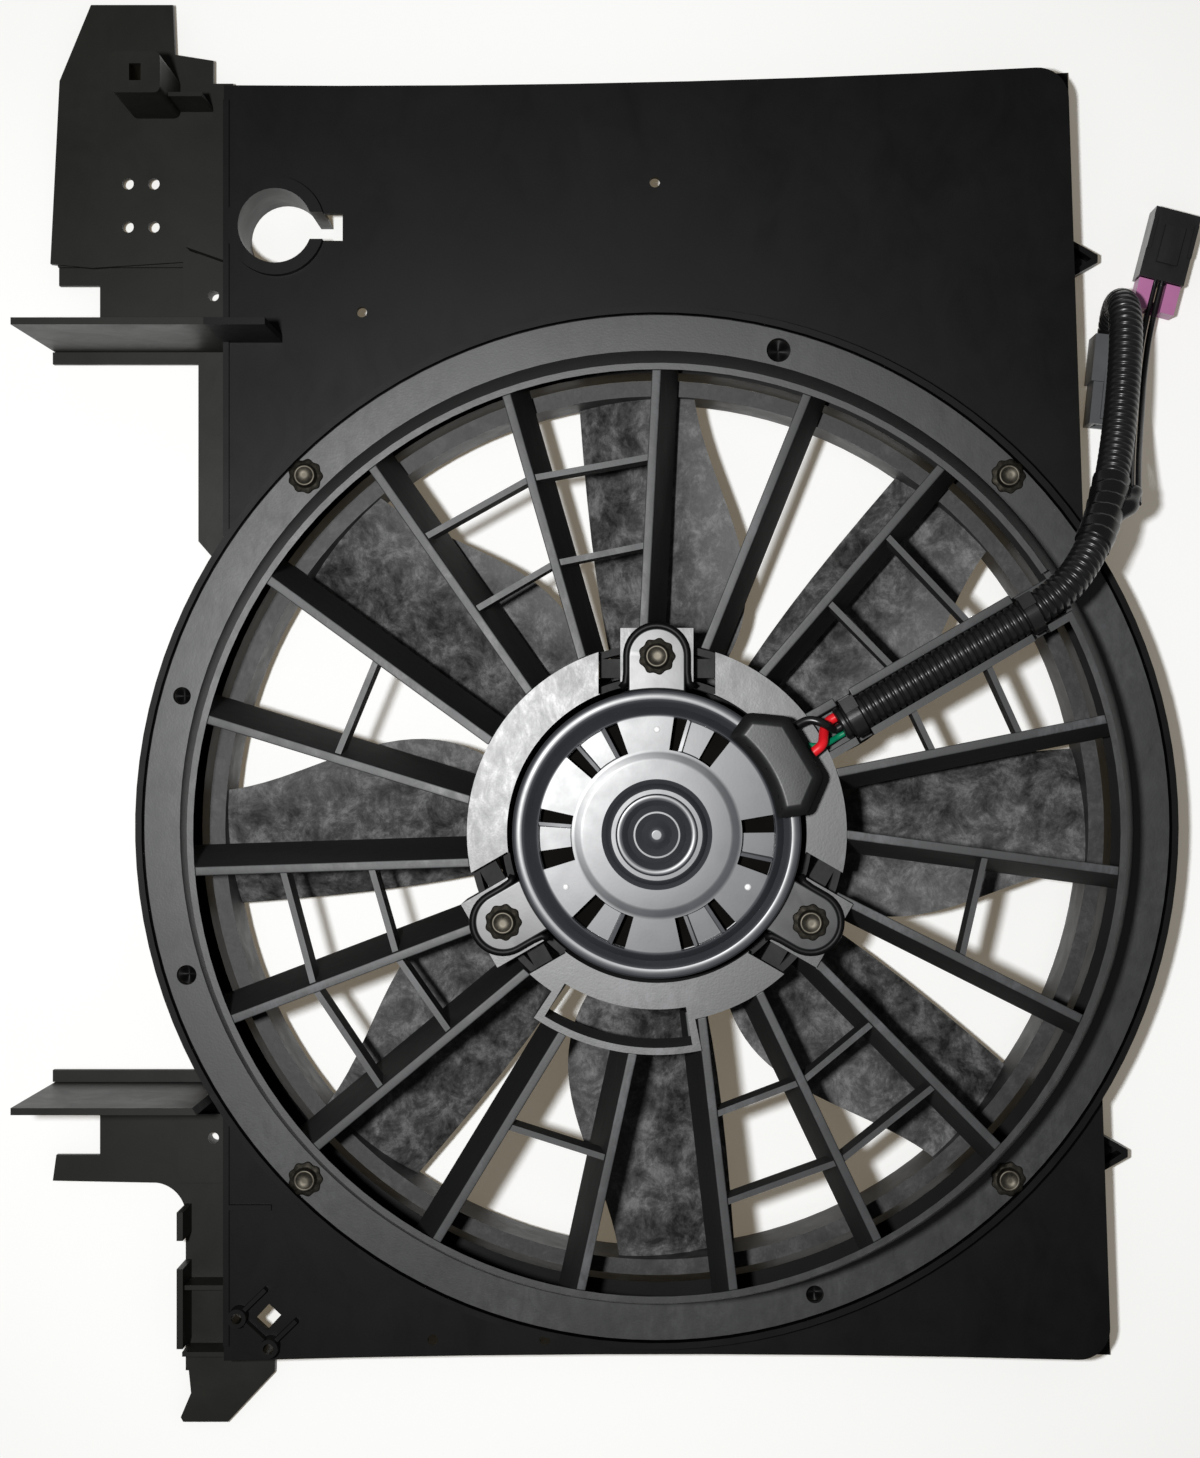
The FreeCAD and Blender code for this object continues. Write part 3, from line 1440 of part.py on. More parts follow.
def make_armature():
    """The slotted iron core and the copper winding in its slots."""
    bottom = s.core_centre - s.core_length / 2
    top = s.core_centre + s.core_length / 2
    slot_floor = core_radius() - s.core_slot_depth
    core = revolved_body("armature_core", box_outline(s.shaft_radius, core_radius(), bottom, top))
    slot = new_sketch(core, "slot_outline", "XY_Plane", bottom)
    add_outline(slot, slot_outline(s.core_slot_width, slot_floor, core_radius() + 1))
    one = cut(core, "slot", slot, s.core_length, upward=True)
    repeat(core, "slots", [one], s.core_teeth)
    keep(core, "armature_core")
    inner = s.commutator_radius + 3
    outer = core_radius() - 3
    winding = revolved_body("armature_winding", box_outline(inner, outer, top, top + s.winding_overhang))
    turn = new_sketch(winding, "lower_turns_profile", "XZ_Plane")
    add_outline(turn, box_outline(inner, outer, bottom - s.winding_overhang, bottom))
    bars = new_sketch(winding, "bar_outline", "XY_Plane", bottom - 1)
    add_outline(bars, slot_outline(s.core_slot_width - 0.1, slot_floor + 0.1, outer))
    bar = pad(winding, "bar", bars, s.core_length + 2)
    repeat(winding, "bars", [bar], s.core_teeth)
    revolve(winding, "lower_turns", turn)
    keep(winding, "armature_winding")


def make_commutator():
    bottom = s.commutator_top - s.commutator_length
    body = revolved_body("commutator", box_outline(s.shaft_radius, s.commutator_radius, bottom, s.commutator_top))
    slit = new_sketch(body, "slit_outline", "XY_Plane", bottom)
    add_outline(slit, slot_outline(0.6, s.commutator_radius - 0.8, s.commutator_radius + 1))
    one = cut(body, "slit", slit, s.commutator_length, upward=True)
    repeat(body, "slits", [one], s.core_teeth)
    return keep(body, "commutator")


def brush_start():
    return s.commutator_radius + s.brush_gap


def brush_end():
    return brush_start() + s.brush_length


def holder_end():
    return brush_end() + s.brush_spring_length


def make_brush_gear():
    """The brush card with its two holders, the carbon brushes and their springs."""
    card_bottom = s.commutator_top + 0.6
    brush_top = s.commutator_top - 1
    brush_bottom = brush_top - s.brush_height
    gap = 0.15
    card = revolved_body("brush_card", box_outline(
        s.commutator_radius + 1.5, can_inner(), card_bottom, card_bottom + s.brush_card_thickness))
    outline = box_outline(brush_start() + 1.5, holder_end() + 1.2, -s.brush_width / 2 - 1.4, s.brush_width / 2 + 1.4)
    holder = padded_outline(card, "holder", outline, brush_bottom - gap - 1.2, card_bottom + 0.5)
    channel = new_sketch(card, "holder_channel_outline", "XY_Plane", brush_bottom - gap)
    half = s.brush_width / 2 + gap
    add_outline(channel, box_outline(brush_start(), holder_end(), -half, half))
    hollow = feature(card, "Pocket", "holder_channel", channel)
    bind(hollow, "Length", s.brush_height + 2 * gap)
    hollow.Reversed = True
    repeat(card, "holders", [holder, hollow], 2)
    keep(card, "brush_card")
    brush = new_body("brush")
    padded_outline(brush, "brush_block",
                   box_outline(brush_start(), brush_end(), -s.brush_width / 2, s.brush_width / 2),
                   brush_bottom, brush_top)
    doc.recompute()
    compound("carbon_brushes", [turned(brush.Shape, angle) for angle in (0, 180)])
    spring = coil_spring(s.brush_spring_radius, s.brush_spring_wire, s.brush_spring_length)
    spring.rotate(Vector(0, 0, 0), Vector(0, 1, 0), 90)
    spring.translate(Vector(number(brush_end()), 0, number(brush_bottom + s.brush_height / 2)))
    compound("brush_springs", [turned(spring, angle) for angle in (0, 180)])


def coil_spring(radius, wire, length):
    """A coil along +Z that ends half a wire inside each end of its length."""
    radius, wire, length = number(radius), number(wire), number(length)
    rise = length - 2.4 * wire
    helix = Part.makeHelix(rise / 4, rise, radius)
    profile = Part.Wire([Part.Circle(Vector(radius, 0, 0), Vector(0, 1, 0), wire).toShape()])
    coil = Part.Wire(helix.Edges).makePipeShell([profile], True, True)
    coil.translate(Vector(0, 0, 1.2 * wire))
    return coil


def make_shaft():
    rear_end = motor_seat() + s.motor_flange_thickness + s.bearing_length
    shaft = doc.addObject("Part::Cylinder", "motor_shaft")
    bottom = s.fan_hub_bottom - s.fan_nut_height - 2
    bind(shaft, "Radius", s.shaft_radius)
    bind(shaft, "Height", rear_end - bottom)
    bind(shaft, "Placement.Base.z", bottom)
    return keep(shaft, "motor_shaft")


# ---------------------------------------------------------------- fan


def make_fan_hub():
    """The cup that turns round the motor can, ribbed inside and bored for the shaft."""
    floor = s.fan_hub_bottom + s.fan_hub_wall
    body = revolved_body("fan_hub", [
        (s.shaft_radius, s.fan_hub_bottom),
        (s.fan_hub_radius - 3, s.fan_hub_bottom),
        (s.fan_hub_radius, s.fan_hub_bottom + 3),
        (s.fan_hub_radius, s.fan_hub_top),
        (s.fan_hub_radius - s.fan_hub_wall, s.fan_hub_top),
        (s.fan_hub_radius - s.fan_hub_wall, floor + 1),
        (s.fan_hub_radius - s.fan_hub_wall - 1, floor),
        (s.fan_bore_boss, floor),
        (s.fan_bore_boss, s.can_bottom - 2),
        (s.shaft_radius, s.can_bottom - 2),
    ])
    rib = box_outline(s.fan_bore_boss - 1, s.fan_hub_radius - 1, -1.0, 1.0)
    one = padded_outline(body, "hub_rib", rib, floor - 1, floor + 4)
    repeat(body, "hub_ribs", [one], s.blade_count)
    return keep(body, "fan_hub")


def blade_section(x, leading, trailing, low, high):
    """A thin cambered section across the blade, low at its leading edge and high behind."""
    half = number(s.blade_thickness) / 2
    camber = number(s.blade_camber)
    front = Vector(number(x), number(leading), number(low))
    back = Vector(number(x), -number(trailing), number(high))
    middle = (front + back) * 0.5
    normal = Vector(0, 0, 1)
    edge = half * 0.45
    top = Part.Arc(back + normal * edge, middle + normal * (half + camber), front + normal * edge)
    nose = Part.LineSegment(front + normal * edge, front - normal * edge)
    bottom = Part.Arc(front - normal * edge, middle + normal * (camber - half), back - normal * edge)
    tail = Part.LineSegment(back - normal * edge, back + normal * edge)
    return Part.Wire([piece.toShape() for piece in (top, nose, bottom, tail)])


def make_fan_blades():
    """Swept blades between the hub and the ring, wide at the belly and narrower at the tip."""
    low, high, tip_high = s.blade_low, s.blade_root_high, s.blade_tip_high
    tip = s.blade_tip_width / 2
    middle_high = (high + tip_high) / 2
    sections = [
        blade_section(s.fan_hub_radius - 6, s.blade_root_leading, s.blade_root_trailing, low, high),
        blade_section(s.blade_belly_radius, s.blade_belly_leading, s.blade_belly_trailing, low, high - 1),
        blade_section((fan_ring_bore() - s.blade_neck_inset), s.blade_neck_leading, s.blade_neck_trailing, low, middle_high),
        blade_section(fan_ring_bore() + 4, tip, tip, low, tip_high),
    ]
    blank = Part.makeLoft(sections, True, False)
    tall = number(s.guard_top)
    blade = blank.common(Part.makeCylinder(number(fan_ring_bore()), tall))
    blade = blade.cut(Part.makeCylinder(number(s.fan_hub_radius), tall))
    count = int(number(s.blade_count))
    return compound("fan_blades", [turned(blade, s.blade_first + 360.0 / count * index) for index in range(count)])


def make_fan_ring():
    body = revolved_body("fan_ring", [
        (fan_ring_bore(), s.fan_ring_bottom),
        (fan_ring_bore() + s.fan_ring_wall, s.fan_ring_bottom),
        (fan_ring_bore() + s.fan_ring_wall, s.fan_ring_top - s.fan_ring_lip),
        (fan_ring_outer(), s.fan_ring_top - s.fan_ring_lip),
        (fan_ring_outer(), s.fan_ring_top),
        (fan_ring_bore(), s.fan_ring_top),
    ])
    return keep(body, "fan_ring")


def make_fan_nut():
    body = new_body("fan_nut")
    bottom = s.fan_hub_bottom - s.fan_nut_height
    padded_outline(body, "nut", hexagon(s.fan_nut_flats), bottom, s.fan_hub_bottom)
    bore = new_sketch(body, "nut_bore_outline")
    add_circle(bore, (0, 0), s.shaft_radius)
    cut(body, "nut_bore", bore)
    return keep(body, "fan_nut")


# ---------------------------------------------------------------- harness


def route(points):
    """A path of straight runs joined by tangent arcs, each as large as its two runs allow."""
    points = [Vector(number(x), number(y), number(z)) for x, y, z in points]
    edges = []
    start = points[0]
    radii = []
    for before, corner, after in zip(points, points[1:], points[2:]):
        inward = corner - before
        outward = after - corner
        reach = 0.45 * min(inward.Length, outward.Length)
        turn = inward.getAngle(outward)
        radius = reach / math.tan(turn / 2)
        arrive = corner - inward.normalize() * reach
        leave = corner + outward.normalize() * reach
        aside = (arrive + leave) * 0.5 - corner
        depth = radius / math.cos(turn / 2) - radius
        edges.append(Part.LineSegment(start, arrive).toShape())
        edges.append(Part.Arc(arrive, corner + aside.normalize() * depth, leave).toShape())
        start = leave
        radii.append(round(radius, 1))
    edges.append(Part.LineSegment(start, points[-1]).toShape())
    return edges, radii


def rod(edges, radius):
    """A round bar along a path."""
    path = Part.Wire(edges)
    first = edges[0]
    direction = first.tangentAt(first.FirstParameter)
    circle = Part.Circle(first.valueAt(first.FirstParameter), direction, number(radius))
    return path.makePipeShell([Part.Wire([circle.toShape()])], True, False)


def make_cord(label, points, radius):
    """A cord's plain tube, with its length and bends printed for the record."""
    edges, radii = route(points)
    shape = rod(edges, radius)
    length = sum(edge.Length for edge in edges)
    expected = math.pi * number(radius) ** 2 * length
    if abs(shape.Volume - expected) > 0.01 * expected:
        raise RuntimeError("%s is not a clean tube" % label)
    print(label, "length %.1f" % length, "bend radii", radii)
    compound(label, [shape])
    return edges


def conduit_height():
    return channel_top() + s.conduit_radius + s.channel_clearance


def make_conduit():
    """The corrugated conduit: along its channel, down past the collar and back to its plug."""
    level = conduit_height()
    channel = [
        in_channel(s.conduit_start, 0) + (level,),
        in_channel(s.conduit_start + 42, 0.15) + (level,),
        in_channel(s.barrel_top_radius + 0.5, 0) + (level,),
    ]
    free = [
        (157.3, 100.0, 82.4),
        (165.8, 118.0, 70.5),
        (171.5, 139.0, 59.5),
        (175.5, 161.0, 51.0),
        (178.0, 180.0, 44.8),
        (179.2, 192.9, 39.9),
        (179.8, 202.1, 30.7),
        (179.9, 202.1, 17.7),
    ]
    back = s.power_plug_length / 2
    ends = [power_point(back + along) + (conduit_end_height(),) for along in (1.3, 0.3 - s.plug_entry_depth)]
    edges = make_cord("conduit", channel + free + ends, s.conduit_radius)
    # The tape is wound round the bend after the first free point.
    bend = edges[2 * 4 - 1]
    outer = rod([bend], s.conduit_radius + s.tape_thickness)
    compound("tape_wrap", [outer.cut(rod([bend], s.conduit_radius))])


def make_cable_ties():
    """Two straps round the conduit, each with its square lock on top."""
    level = number(conduit_height())
    inner = number(s.conduit_radius + s.tie_clearance)
    outer = inner + number(s.cable_tie_thickness)
    width = number(s.cable_tie_width)
    angle = number(channel_direction())
    ties = []
    for along in (s.cable_tie_first, second_tie()):
        x, y = in_channel(along, 0)
        strap = Part.makeCylinder(outer, width, Vector(-width / 2, 0, 0), Vector(1, 0, 0))
        lock = Part.makeBox(width + 0.8, 5.0, 3.4, Vector(-width / 2 - 0.4, 1.0, inner - 0.6))
        lock.rotate(Vector(0, 0, 0), Vector(1, 0, 0), -12)
        strap = strap.fuse(lock)
        strap = strap.cut(Part.makeCylinder(inner, 3 * width, Vector(-1.5 * width, 0, 0), Vector(1, 0, 0)))
        strap.rotate(Vector(0, 0, 0), Vector(0, 0, 1), angle)
        strap.translate(Vector(number(x), number(y), level))
        ties.append(strap)
    compound("cable_ties", ties)


def make_motor_leads():
    """The three short leads between the wire cover and the conduit's mouth."""
    level = conduit_height()
    for label, points, across, above, radius in (
        ("red_motor_lead", [(56.1, 29.2, 96.4), (59.6, 32.0, 96.4), (60.4, 37.4, 90.8)], 3.4, 0.6,
         s.red_wire_radius),
        ("green_motor_lead", [(54.6, 31.8, 92.6), (58.4, 31.4, 92.2), (62.0, 32.6, 89.4)], -3.3, -1.5,
         s.green_wire_radius),
        ("black_motor_lead", [(49.4, 38.6, 96.0), (54.5, 41.4, 98.0), (60.0, 39.6, 98.4)], -0.4, 3.4,
         s.black_wire_radius),
    ):
        mouth = [in_channel(s.conduit_start - before, across) + (level + above,) for before in (3.0, 0.1)]
        make_cord(label, points + mouth, radius)


def plug_point(along, across):
    """A point of the sensor plug, from how far ahead of its middle and how far right it lies."""
    turn = s.sensor_plug_turn
    x = s.sensor_plug_x + along * sine(turn) + across * cosine(turn)
    y = s.sensor_plug_y + along * cosine(turn) - across * sine(turn)
    return x, y


def make_sensor_leads():
    """Two thin leads from the tape on the conduit to the back of the sensor plug."""
    height = s.sensor_plug_height * 0.55
    back = -s.sensor_plug_length / 2
    for label, side in (("inner_sensor_lead", -1), ("outer_sensor_lead", 1)):
        shift = side * (s.lead_radius + 0.15)
        free = [
            (177.2 + shift, 121.2, 67.4),
            (179.9 + shift, 136.0, 53.0),
            (183.4 + shift, 149.0, 38.0),
            (186.9 + shift, 163.0, 24.0),
            (190.0 + shift, 178.0, 12.5),
        ]
        ends = [plug_point(back - 17.5, shift) + (height,), plug_point(back, shift) + (height,)]
        make_cord(label, free + ends, s.lead_radius)


def power_point(along):
    """A point on the power plug's middle line, from how far towards its back it lies."""
    turn = s.power_plug_turn
    return s.power_plug_x + along * sine(turn), s.power_plug_y + along * cosine(turn)


def make_power_plug():
    """The square plug on the conduit's end, open for its mate at one end."""
    body = new_body("power_plug")
    half_width = s.power_plug_width / 2
    half_length = s.power_plug_length / 2
    height = s.power_plug_height
    back = box_outline(-half_width, half_width, -1.0, half_length)
    padded_outline(body, "power_back", back, 0, height)
    front = box_outline(1.2 - half_width, half_width - 1.2, -half_length, 0)
    padded_outline(body, "power_front", front, 0, height - 1.6)
    rib = box_outline(-3.0, 3.0, -half_length + 2, 4.0)
    padded_outline(body, "power_latch", rib, height - 2.0, height + 0.6)
    wall = s.socket_wall
    socket = new_sketch(body, "power_socket_outline", "XZ_Plane", half_length)
    add_outline(socket, box_outline(wall + 1.2 - half_width, half_width - wall - 1.2, wall, height - wall - 1.6))
    cut(body, "power_socket", socket, s.socket_depth)
    entry = new_sketch(body, "power_entry_outline", "XZ_Plane", -half_length)
    add_circle(entry, (0, conduit_end_height()), s.conduit_radius + s.plug_entry_clearance)
    cut(body, "power_entry", entry, s.plug_entry_depth, upward=True)
    return keep(body, "power_plug", s.power_plug_x, s.power_plug_y, -s.power_plug_turn)


def conduit_end_height():
    return s.power_plug_height / 2


def make_sensor_plug():
    """The black plug: a socket for its mate, a latch on top and two slots for its lock."""
    body = new_body("sensor_plug")
    half_width = s.sensor_plug_width / 2
    half_length = s.sensor_plug_length / 2
    height = s.sensor_plug_height
    outline = box_outline(-half_width, half_width, -half_length, half_length)
    padded_outline(body, "sensor_shell", outline, 0, height)
    half_latch = s.latch_width / 2
    latch = box_outline(-half_latch, half_latch, -s.latch_length / 2, s.latch_length / 2)
    padded_outline(body, "sensor_latch", latch, height - 1, height + s.latch_height)
    for name, side in (("left_rail", -1), ("right_rail", 1)):
        low = side * (half_width - 1.6)
        rail = box_outline(*sorted((low, side * half_width), key=number), -3.0, half_length - 4.0)
        padded_outline(body, name, rail, height - 1, height + 1.2)
    wall = s.socket_wall
    socket = new_sketch(body, "sensor_socket_outline", "XZ_Plane", -half_length)
    add_outline(socket, box_outline(wall - half_width, half_width - wall, wall, height - wall))
    cut(body, "sensor_socket", socket, s.socket_depth, upward=True)
    slack = s.lock_clearance
    for index, points in enumerate(lock_tongues(slack)):
        slot = new_sketch(body, "lock_slot_outline_%d" % index, "XZ_Plane", half_length)
        add_outline(slot, points)
        cut(body, "lock_slot_%d" % index, slot, s.lock_tongue + slack)
    return keep(body, "sensor_plug", s.sensor_plug_x, s.sensor_plug_y, -s.sensor_plug_turn)


def lock_tongues(slack):
    """The cross-sections of the lock's two tongues, each grown by a slack."""
    half = s.lock_tongue_width / 2 + slack
    middle = s.sensor_plug_width / 2 - s.lock_inset - s.lock_prong_width / 2
    low = s.lock_bottom + 2.5 - slack
    high = s.lock_bottom + s.lock_height - 2.5 + slack
    for side in (-1, 1):
        centre = side * middle
        yield box_outline(centre - half, centre + half, low, high)


def make_plug_lock():
    """The coloured lock that slides into the back of the sensor plug."""
    body = new_body("plug_lock")
    front = -s.sensor_plug_length / 2 - s.lock_clearance
    back = front - s.lock_length
    top = s.lock_bottom + s.lock_height
    half = s.sensor_plug_width / 2 - s.lock_inset
    web = box_outline(-half + 1, half - 1, back, back + 5.0)
    padded_outline(body, "lock_web", web, s.lock_bottom, s.lock_bottom + 2.0)
    for name, side in (("left_prong", -1), ("right_prong", 1)):
        inner = side * (half - s.lock_prong_width)
        low, high = sorted((inner, side * half), key=number)
        padded_outline(body, name, box_outline(low, high, back, front), s.lock_bottom, top)
    for index, points in enumerate(lock_tongues(0)):
        tongue = new_sketch(body, "tongue_outline_%d" % index, "XZ_Plane", 1 - front)
        add_outline(tongue, points)
        made = pad(body, "tongue_%d" % index, tongue, s.lock_tongue + 1)
        made.Reversed = True
    return keep(body, "plug_lock", s.sensor_plug_x, s.sensor_plug_y, -s.sensor_plug_turn)


# ---------------------------------------------------------------- the whole module


def check(target):
    if target.Label in CHECKED:
        raise RuntimeError("two sub-parts are called " + target.Label)
    CHECKED.add(target.Label)
    if target.Shape.isNull() or not target.Shape.isValid() or not target.Shape.Solids:
        raise RuntimeError(target.Label + " has no valid solid")


make_shroud_panel()
make_upper_bracket()
make_lower_bracket()
make_guard_ring()
make_guard_hub()
vane_shapes = make_guard_vanes()
channel_shape = make_wire_channel(vane_shapes)
make_guard_ties(vane_shapes, channel_shape)
make_screws()
make_motor_can()
make_end_cap()
make_wire_cover()
make_bearings()
make_magnets()
make_armature()
make_commutator()
make_brush_gear()
make_shaft()
make_fan_hub()
make_fan_blades()
make_fan_ring()
make_fan_nut()
make_conduit()
make_cable_ties()
make_motor_leads()
make_sensor_leads()
make_power_plug()
make_sensor_plug()
make_plug_lock()

doc.recompute()
CHECKED = set()
failed = [item.Name for item in doc.Objects if "Invalid" in item.State or "Error" in item.State]
if failed:
    raise RuntimeError("failed: " + ", ".join(failed))
os.makedirs("parts", exist_ok=True)
for item in PARTS:
    check(item)
    item.Shape.exportStep(os.path.join("parts", item.Label + ".step"))
print(len(PARTS), "sub-parts written")
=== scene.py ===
"""Looks for the radiator fan shroud: materials on every CAD piece, the finer pieces shown in place
of some of them, the wiring harness, the floor, the lamp and the camera. Lengths are in metres,
unless a name or a comment says mm."""

import json
import math

import bmesh
import bpy
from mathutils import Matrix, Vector


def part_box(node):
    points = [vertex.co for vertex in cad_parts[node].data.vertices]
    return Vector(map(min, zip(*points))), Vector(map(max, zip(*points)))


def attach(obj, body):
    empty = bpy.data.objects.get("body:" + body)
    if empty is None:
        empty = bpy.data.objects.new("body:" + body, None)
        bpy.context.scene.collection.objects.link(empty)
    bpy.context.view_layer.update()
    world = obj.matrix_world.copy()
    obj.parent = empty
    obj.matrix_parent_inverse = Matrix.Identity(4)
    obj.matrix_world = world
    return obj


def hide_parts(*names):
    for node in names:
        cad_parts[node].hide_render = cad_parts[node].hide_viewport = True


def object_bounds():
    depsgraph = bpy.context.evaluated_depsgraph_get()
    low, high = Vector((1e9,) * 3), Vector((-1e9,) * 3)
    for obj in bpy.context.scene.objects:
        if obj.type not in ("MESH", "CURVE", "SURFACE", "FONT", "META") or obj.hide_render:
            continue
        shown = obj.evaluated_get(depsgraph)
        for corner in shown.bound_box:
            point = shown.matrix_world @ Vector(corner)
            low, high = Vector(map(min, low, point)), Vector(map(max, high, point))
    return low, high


MM = 0.001
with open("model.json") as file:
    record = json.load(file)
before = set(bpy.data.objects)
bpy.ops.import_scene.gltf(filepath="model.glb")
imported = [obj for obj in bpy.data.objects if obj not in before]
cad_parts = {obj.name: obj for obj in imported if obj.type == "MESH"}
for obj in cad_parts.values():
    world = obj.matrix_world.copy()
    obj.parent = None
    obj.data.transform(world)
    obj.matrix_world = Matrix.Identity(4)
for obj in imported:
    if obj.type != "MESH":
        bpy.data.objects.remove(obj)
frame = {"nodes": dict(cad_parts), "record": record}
cad_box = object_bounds()
fan_low, fan_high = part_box("fan_ring")
AXIS = Vector(((fan_low[0] + fan_high[0]) / 2, (fan_low[1] + fan_high[1]) / 2, 0.0))
scene = bpy.context.scene

# ---------------------------------------------------------------- materials

EVEN = (1.0, 1.0, 1.0)


class Surface:
    """A material's node tree, with short helpers for its textures."""

    def __init__(self, name):
        self.material = bpy.data.materials.new(name)
        self.material.use_nodes = True
        self.nodes = self.material.node_tree.nodes
        self.links = self.material.node_tree.links
        self.shader = self.nodes["Principled BSDF"]
        self.place = self.nodes.new("ShaderNodeTexCoord").outputs["Object"]

    def set(self, **values):
        for name, value in values.items():
            self.shader.inputs[name.replace("_", " ")].default_value = value

    def noise(self, scale, detail=4.0, distortion=0.0, roughness=0.5, stretch=EVEN):
        mapping = self.nodes.new("ShaderNodeMapping")
        mapping.inputs["Scale"].default_value = stretch
        self.links.new(self.place, mapping.inputs["Vector"])
        texture = self.nodes.new("ShaderNodeTexNoise")
        texture.inputs["Scale"].default_value = scale
        texture.inputs["Detail"].default_value = detail
        texture.inputs["Roughness"].default_value = roughness
        texture.inputs["Distortion"].default_value = distortion
        self.links.new(mapping.outputs["Vector"], texture.inputs["Vector"])
        return texture.outputs["Fac"]

    def ramp(self, value, stops):
        """Turns a value into a colour. Each stop is a position with a shade or a colour."""
        ramp = self.nodes.new("ShaderNodeValToRGB")
        elements = ramp.color_ramp.elements
        while len(elements) < len(stops):
            elements.new(0.5)
        for element, (position, shade) in zip(elements, stops):
            color = shade if isinstance(shade, tuple) else (shade, shade, shade)
            element.position = position
            element.color = (*color, 1.0)
        self.links.new(value, ramp.inputs["Fac"])
        return ramp.outputs["Color"]

    def height(self, vector):
        """The upright part of a vector."""
        split = self.nodes.new("ShaderNodeSeparateXYZ")
        self.links.new(vector, split.inputs[0])
        return split.outputs["Z"]

    def upward(self):
        """0 on walls and 1 on faces that look up."""
        geometry = self.nodes.new("ShaderNodeNewGeometry")
        return self.ramp(self.height(geometry.outputs["Normal"]), [(0.80, 0.0), (0.97, 1.0)])

    def above(self, level):
        """0 on the part of a piece under a height and 1 on the part over it."""
        compare = self.nodes.new("ShaderNodeMath")
        compare.operation = "GREATER_THAN"
        compare.inputs[1].default_value = level
        self.links.new(self.height(self.place), compare.inputs[0])
        return compare.outputs[0]

    def mix(self, blend, amount, first, second):
        mix = self.nodes.new("ShaderNodeMix")
        mix.data_type = "RGBA"
        mix.blend_type = blend
        if isinstance(amount, float):
            mix.inputs["Factor"].default_value = amount
        else:
            self.links.new(amount, mix.inputs["Factor"])
        self.links.new(first, mix.inputs["A"])
        self.links.new(second, mix.inputs["B"])
        return mix.outputs["Result"]

    def multiply(self, first, second):
        return self.mix("MULTIPLY", 1.0, first, second)

    def color(self, value):
        self.links.new(value, self.shader.inputs["Base Color"])

    def rough(self, value):
        self.links.new(value, self.shader.inputs["Roughness"])

    def bump(self, value, strength, distance):
        bump = self.nodes.new("ShaderNodeBump")
        bump.inputs["Strength"].default_value = strength
        bump.inputs["Distance"].default_value = distance
        self.links.new(value, bump.inputs["Height"])
        self.links.new(bump.outputs["Normal"], self.shader.inputs["Normal"])


def toned(color, factor):
    return tuple(channel * factor for channel in color)


def toned_pair(color, dark, pale):
    """The stops of a ramp from a darker to a paler tone of one colour."""
    return [(0.3, toned(color, dark)), (0.7, toned(color, pale))]


def gloss_pair(roughness, less, more):
    """The stops of a ramp between two degrees of gloss."""
    return [(0.3, roughness - less), (0.7, roughness + more)]


def moulded(name, color, roughness=0.5, variation=0.3, grain=1400.0, grain_depth=0.00004,
            specular=0.5):
    """Moulded plastic: a slightly uneven colour and gloss over a fine grain."""
    surface = Surface(name)
    surface.set(Specular_IOR_Level=specular)
    cloud = surface.noise(24.0, detail=6.0, distortion=0.5, roughness=0.6)
    surface.color(surface.ramp(cloud, toned_pair(color, 1 - variation, 1 + variation)))
    patches = surface.noise(60.0, detail=8.0, distortion=0.8, roughness=0.65,
                            stretch=(1.0, 0.6, 1.0))
    surface.rough(surface.ramp(patches, gloss_pair(roughness, 0.05, 0.06)))
    surface.bump(surface.noise(grain, detail=3.0), strength=0.35, distance=grain_depth)
    return surface.material


def rubbed_with_painted_lit_tops(name, wall, top, streak, roughness, specular, unlit_dull_below=0.0):
    """Moulded plastic, dull on its walls, with speckled scuffs on its upper faces and painted
    light: upper faces painted paler and walls darker by the way they face.
    """
    surface = Surface(name)
    surface.set(Specular_IOR_Level=specular)
    scuffs = surface.noise(160.0, detail=12.0, distortion=0.3, roughness=0.75,
                           stretch=(1.0, 0.55, 1.0))
    cloud = surface.noise(18.0)
    worn = surface.multiply(scuffs, cloud)
    # Painted light: the upper faces' colour is paler and the walls' colour darker because of how a
    # lamp from above lights them; the speckles are real scuffs.
    upper = surface.ramp(worn, [(0.14, toned(top, 0.7)), (0.26, top), (0.42, streak)])
    lower = surface.ramp(scuffs, toned_pair(wall, 0.7, 1.3))
    # The mask of the painted light: 1 on faces that look up, 0 on walls, cut off under the given
    # height.
    up = surface.upward()
    if unlit_dull_below:
        up = surface.multiply(up, surface.above(unlit_dull_below))
    surface.color(surface.mix("MIX", up, lower, upper))
    gloss = surface.ramp(scuffs, gloss_pair(roughness, 0.05, 0.08))
    dull = surface.ramp(scuffs, [(0.3, 0.72), (0.7, 0.85)])
    surface.rough(surface.mix("MIX", up, dull, gloss))
    surface.bump(surface.noise(1300.0, detail=3.0), strength=0.4, distance=0.00004)
    return surface.material


def glass_filled(name, dark=0.018, pale=0.21):
    """The fan's glass-filled plastic, with feathery pale flow marks."""
    surface = Surface(name)
    surface.set(Specular_IOR_Level=0.4)
    patches = surface.noise(88.0, detail=12.0, distortion=0.35, roughness=0.76)
    frost = surface.noise(420.0, detail=12.0, distortion=0.6, roughness=0.85,
                          stretch=(1.0, 0.6, 1.0))
    marks = surface.ramp(patches, [(0.38, dark), (0.50, (dark + pale) * 0.36), (0.62, pale)])
    grain = surface.ramp(frost, [(0.34, 0.35), (0.60, 1.0)])
    surface.color(surface.multiply(marks, grain))
    surface.rough(surface.ramp(patches, [(0.4, 0.46), (0.7, 0.66)]))
    surface.bump(surface.noise(700.0, detail=6.0), strength=0.4, distance=0.00008)
    return surface.material


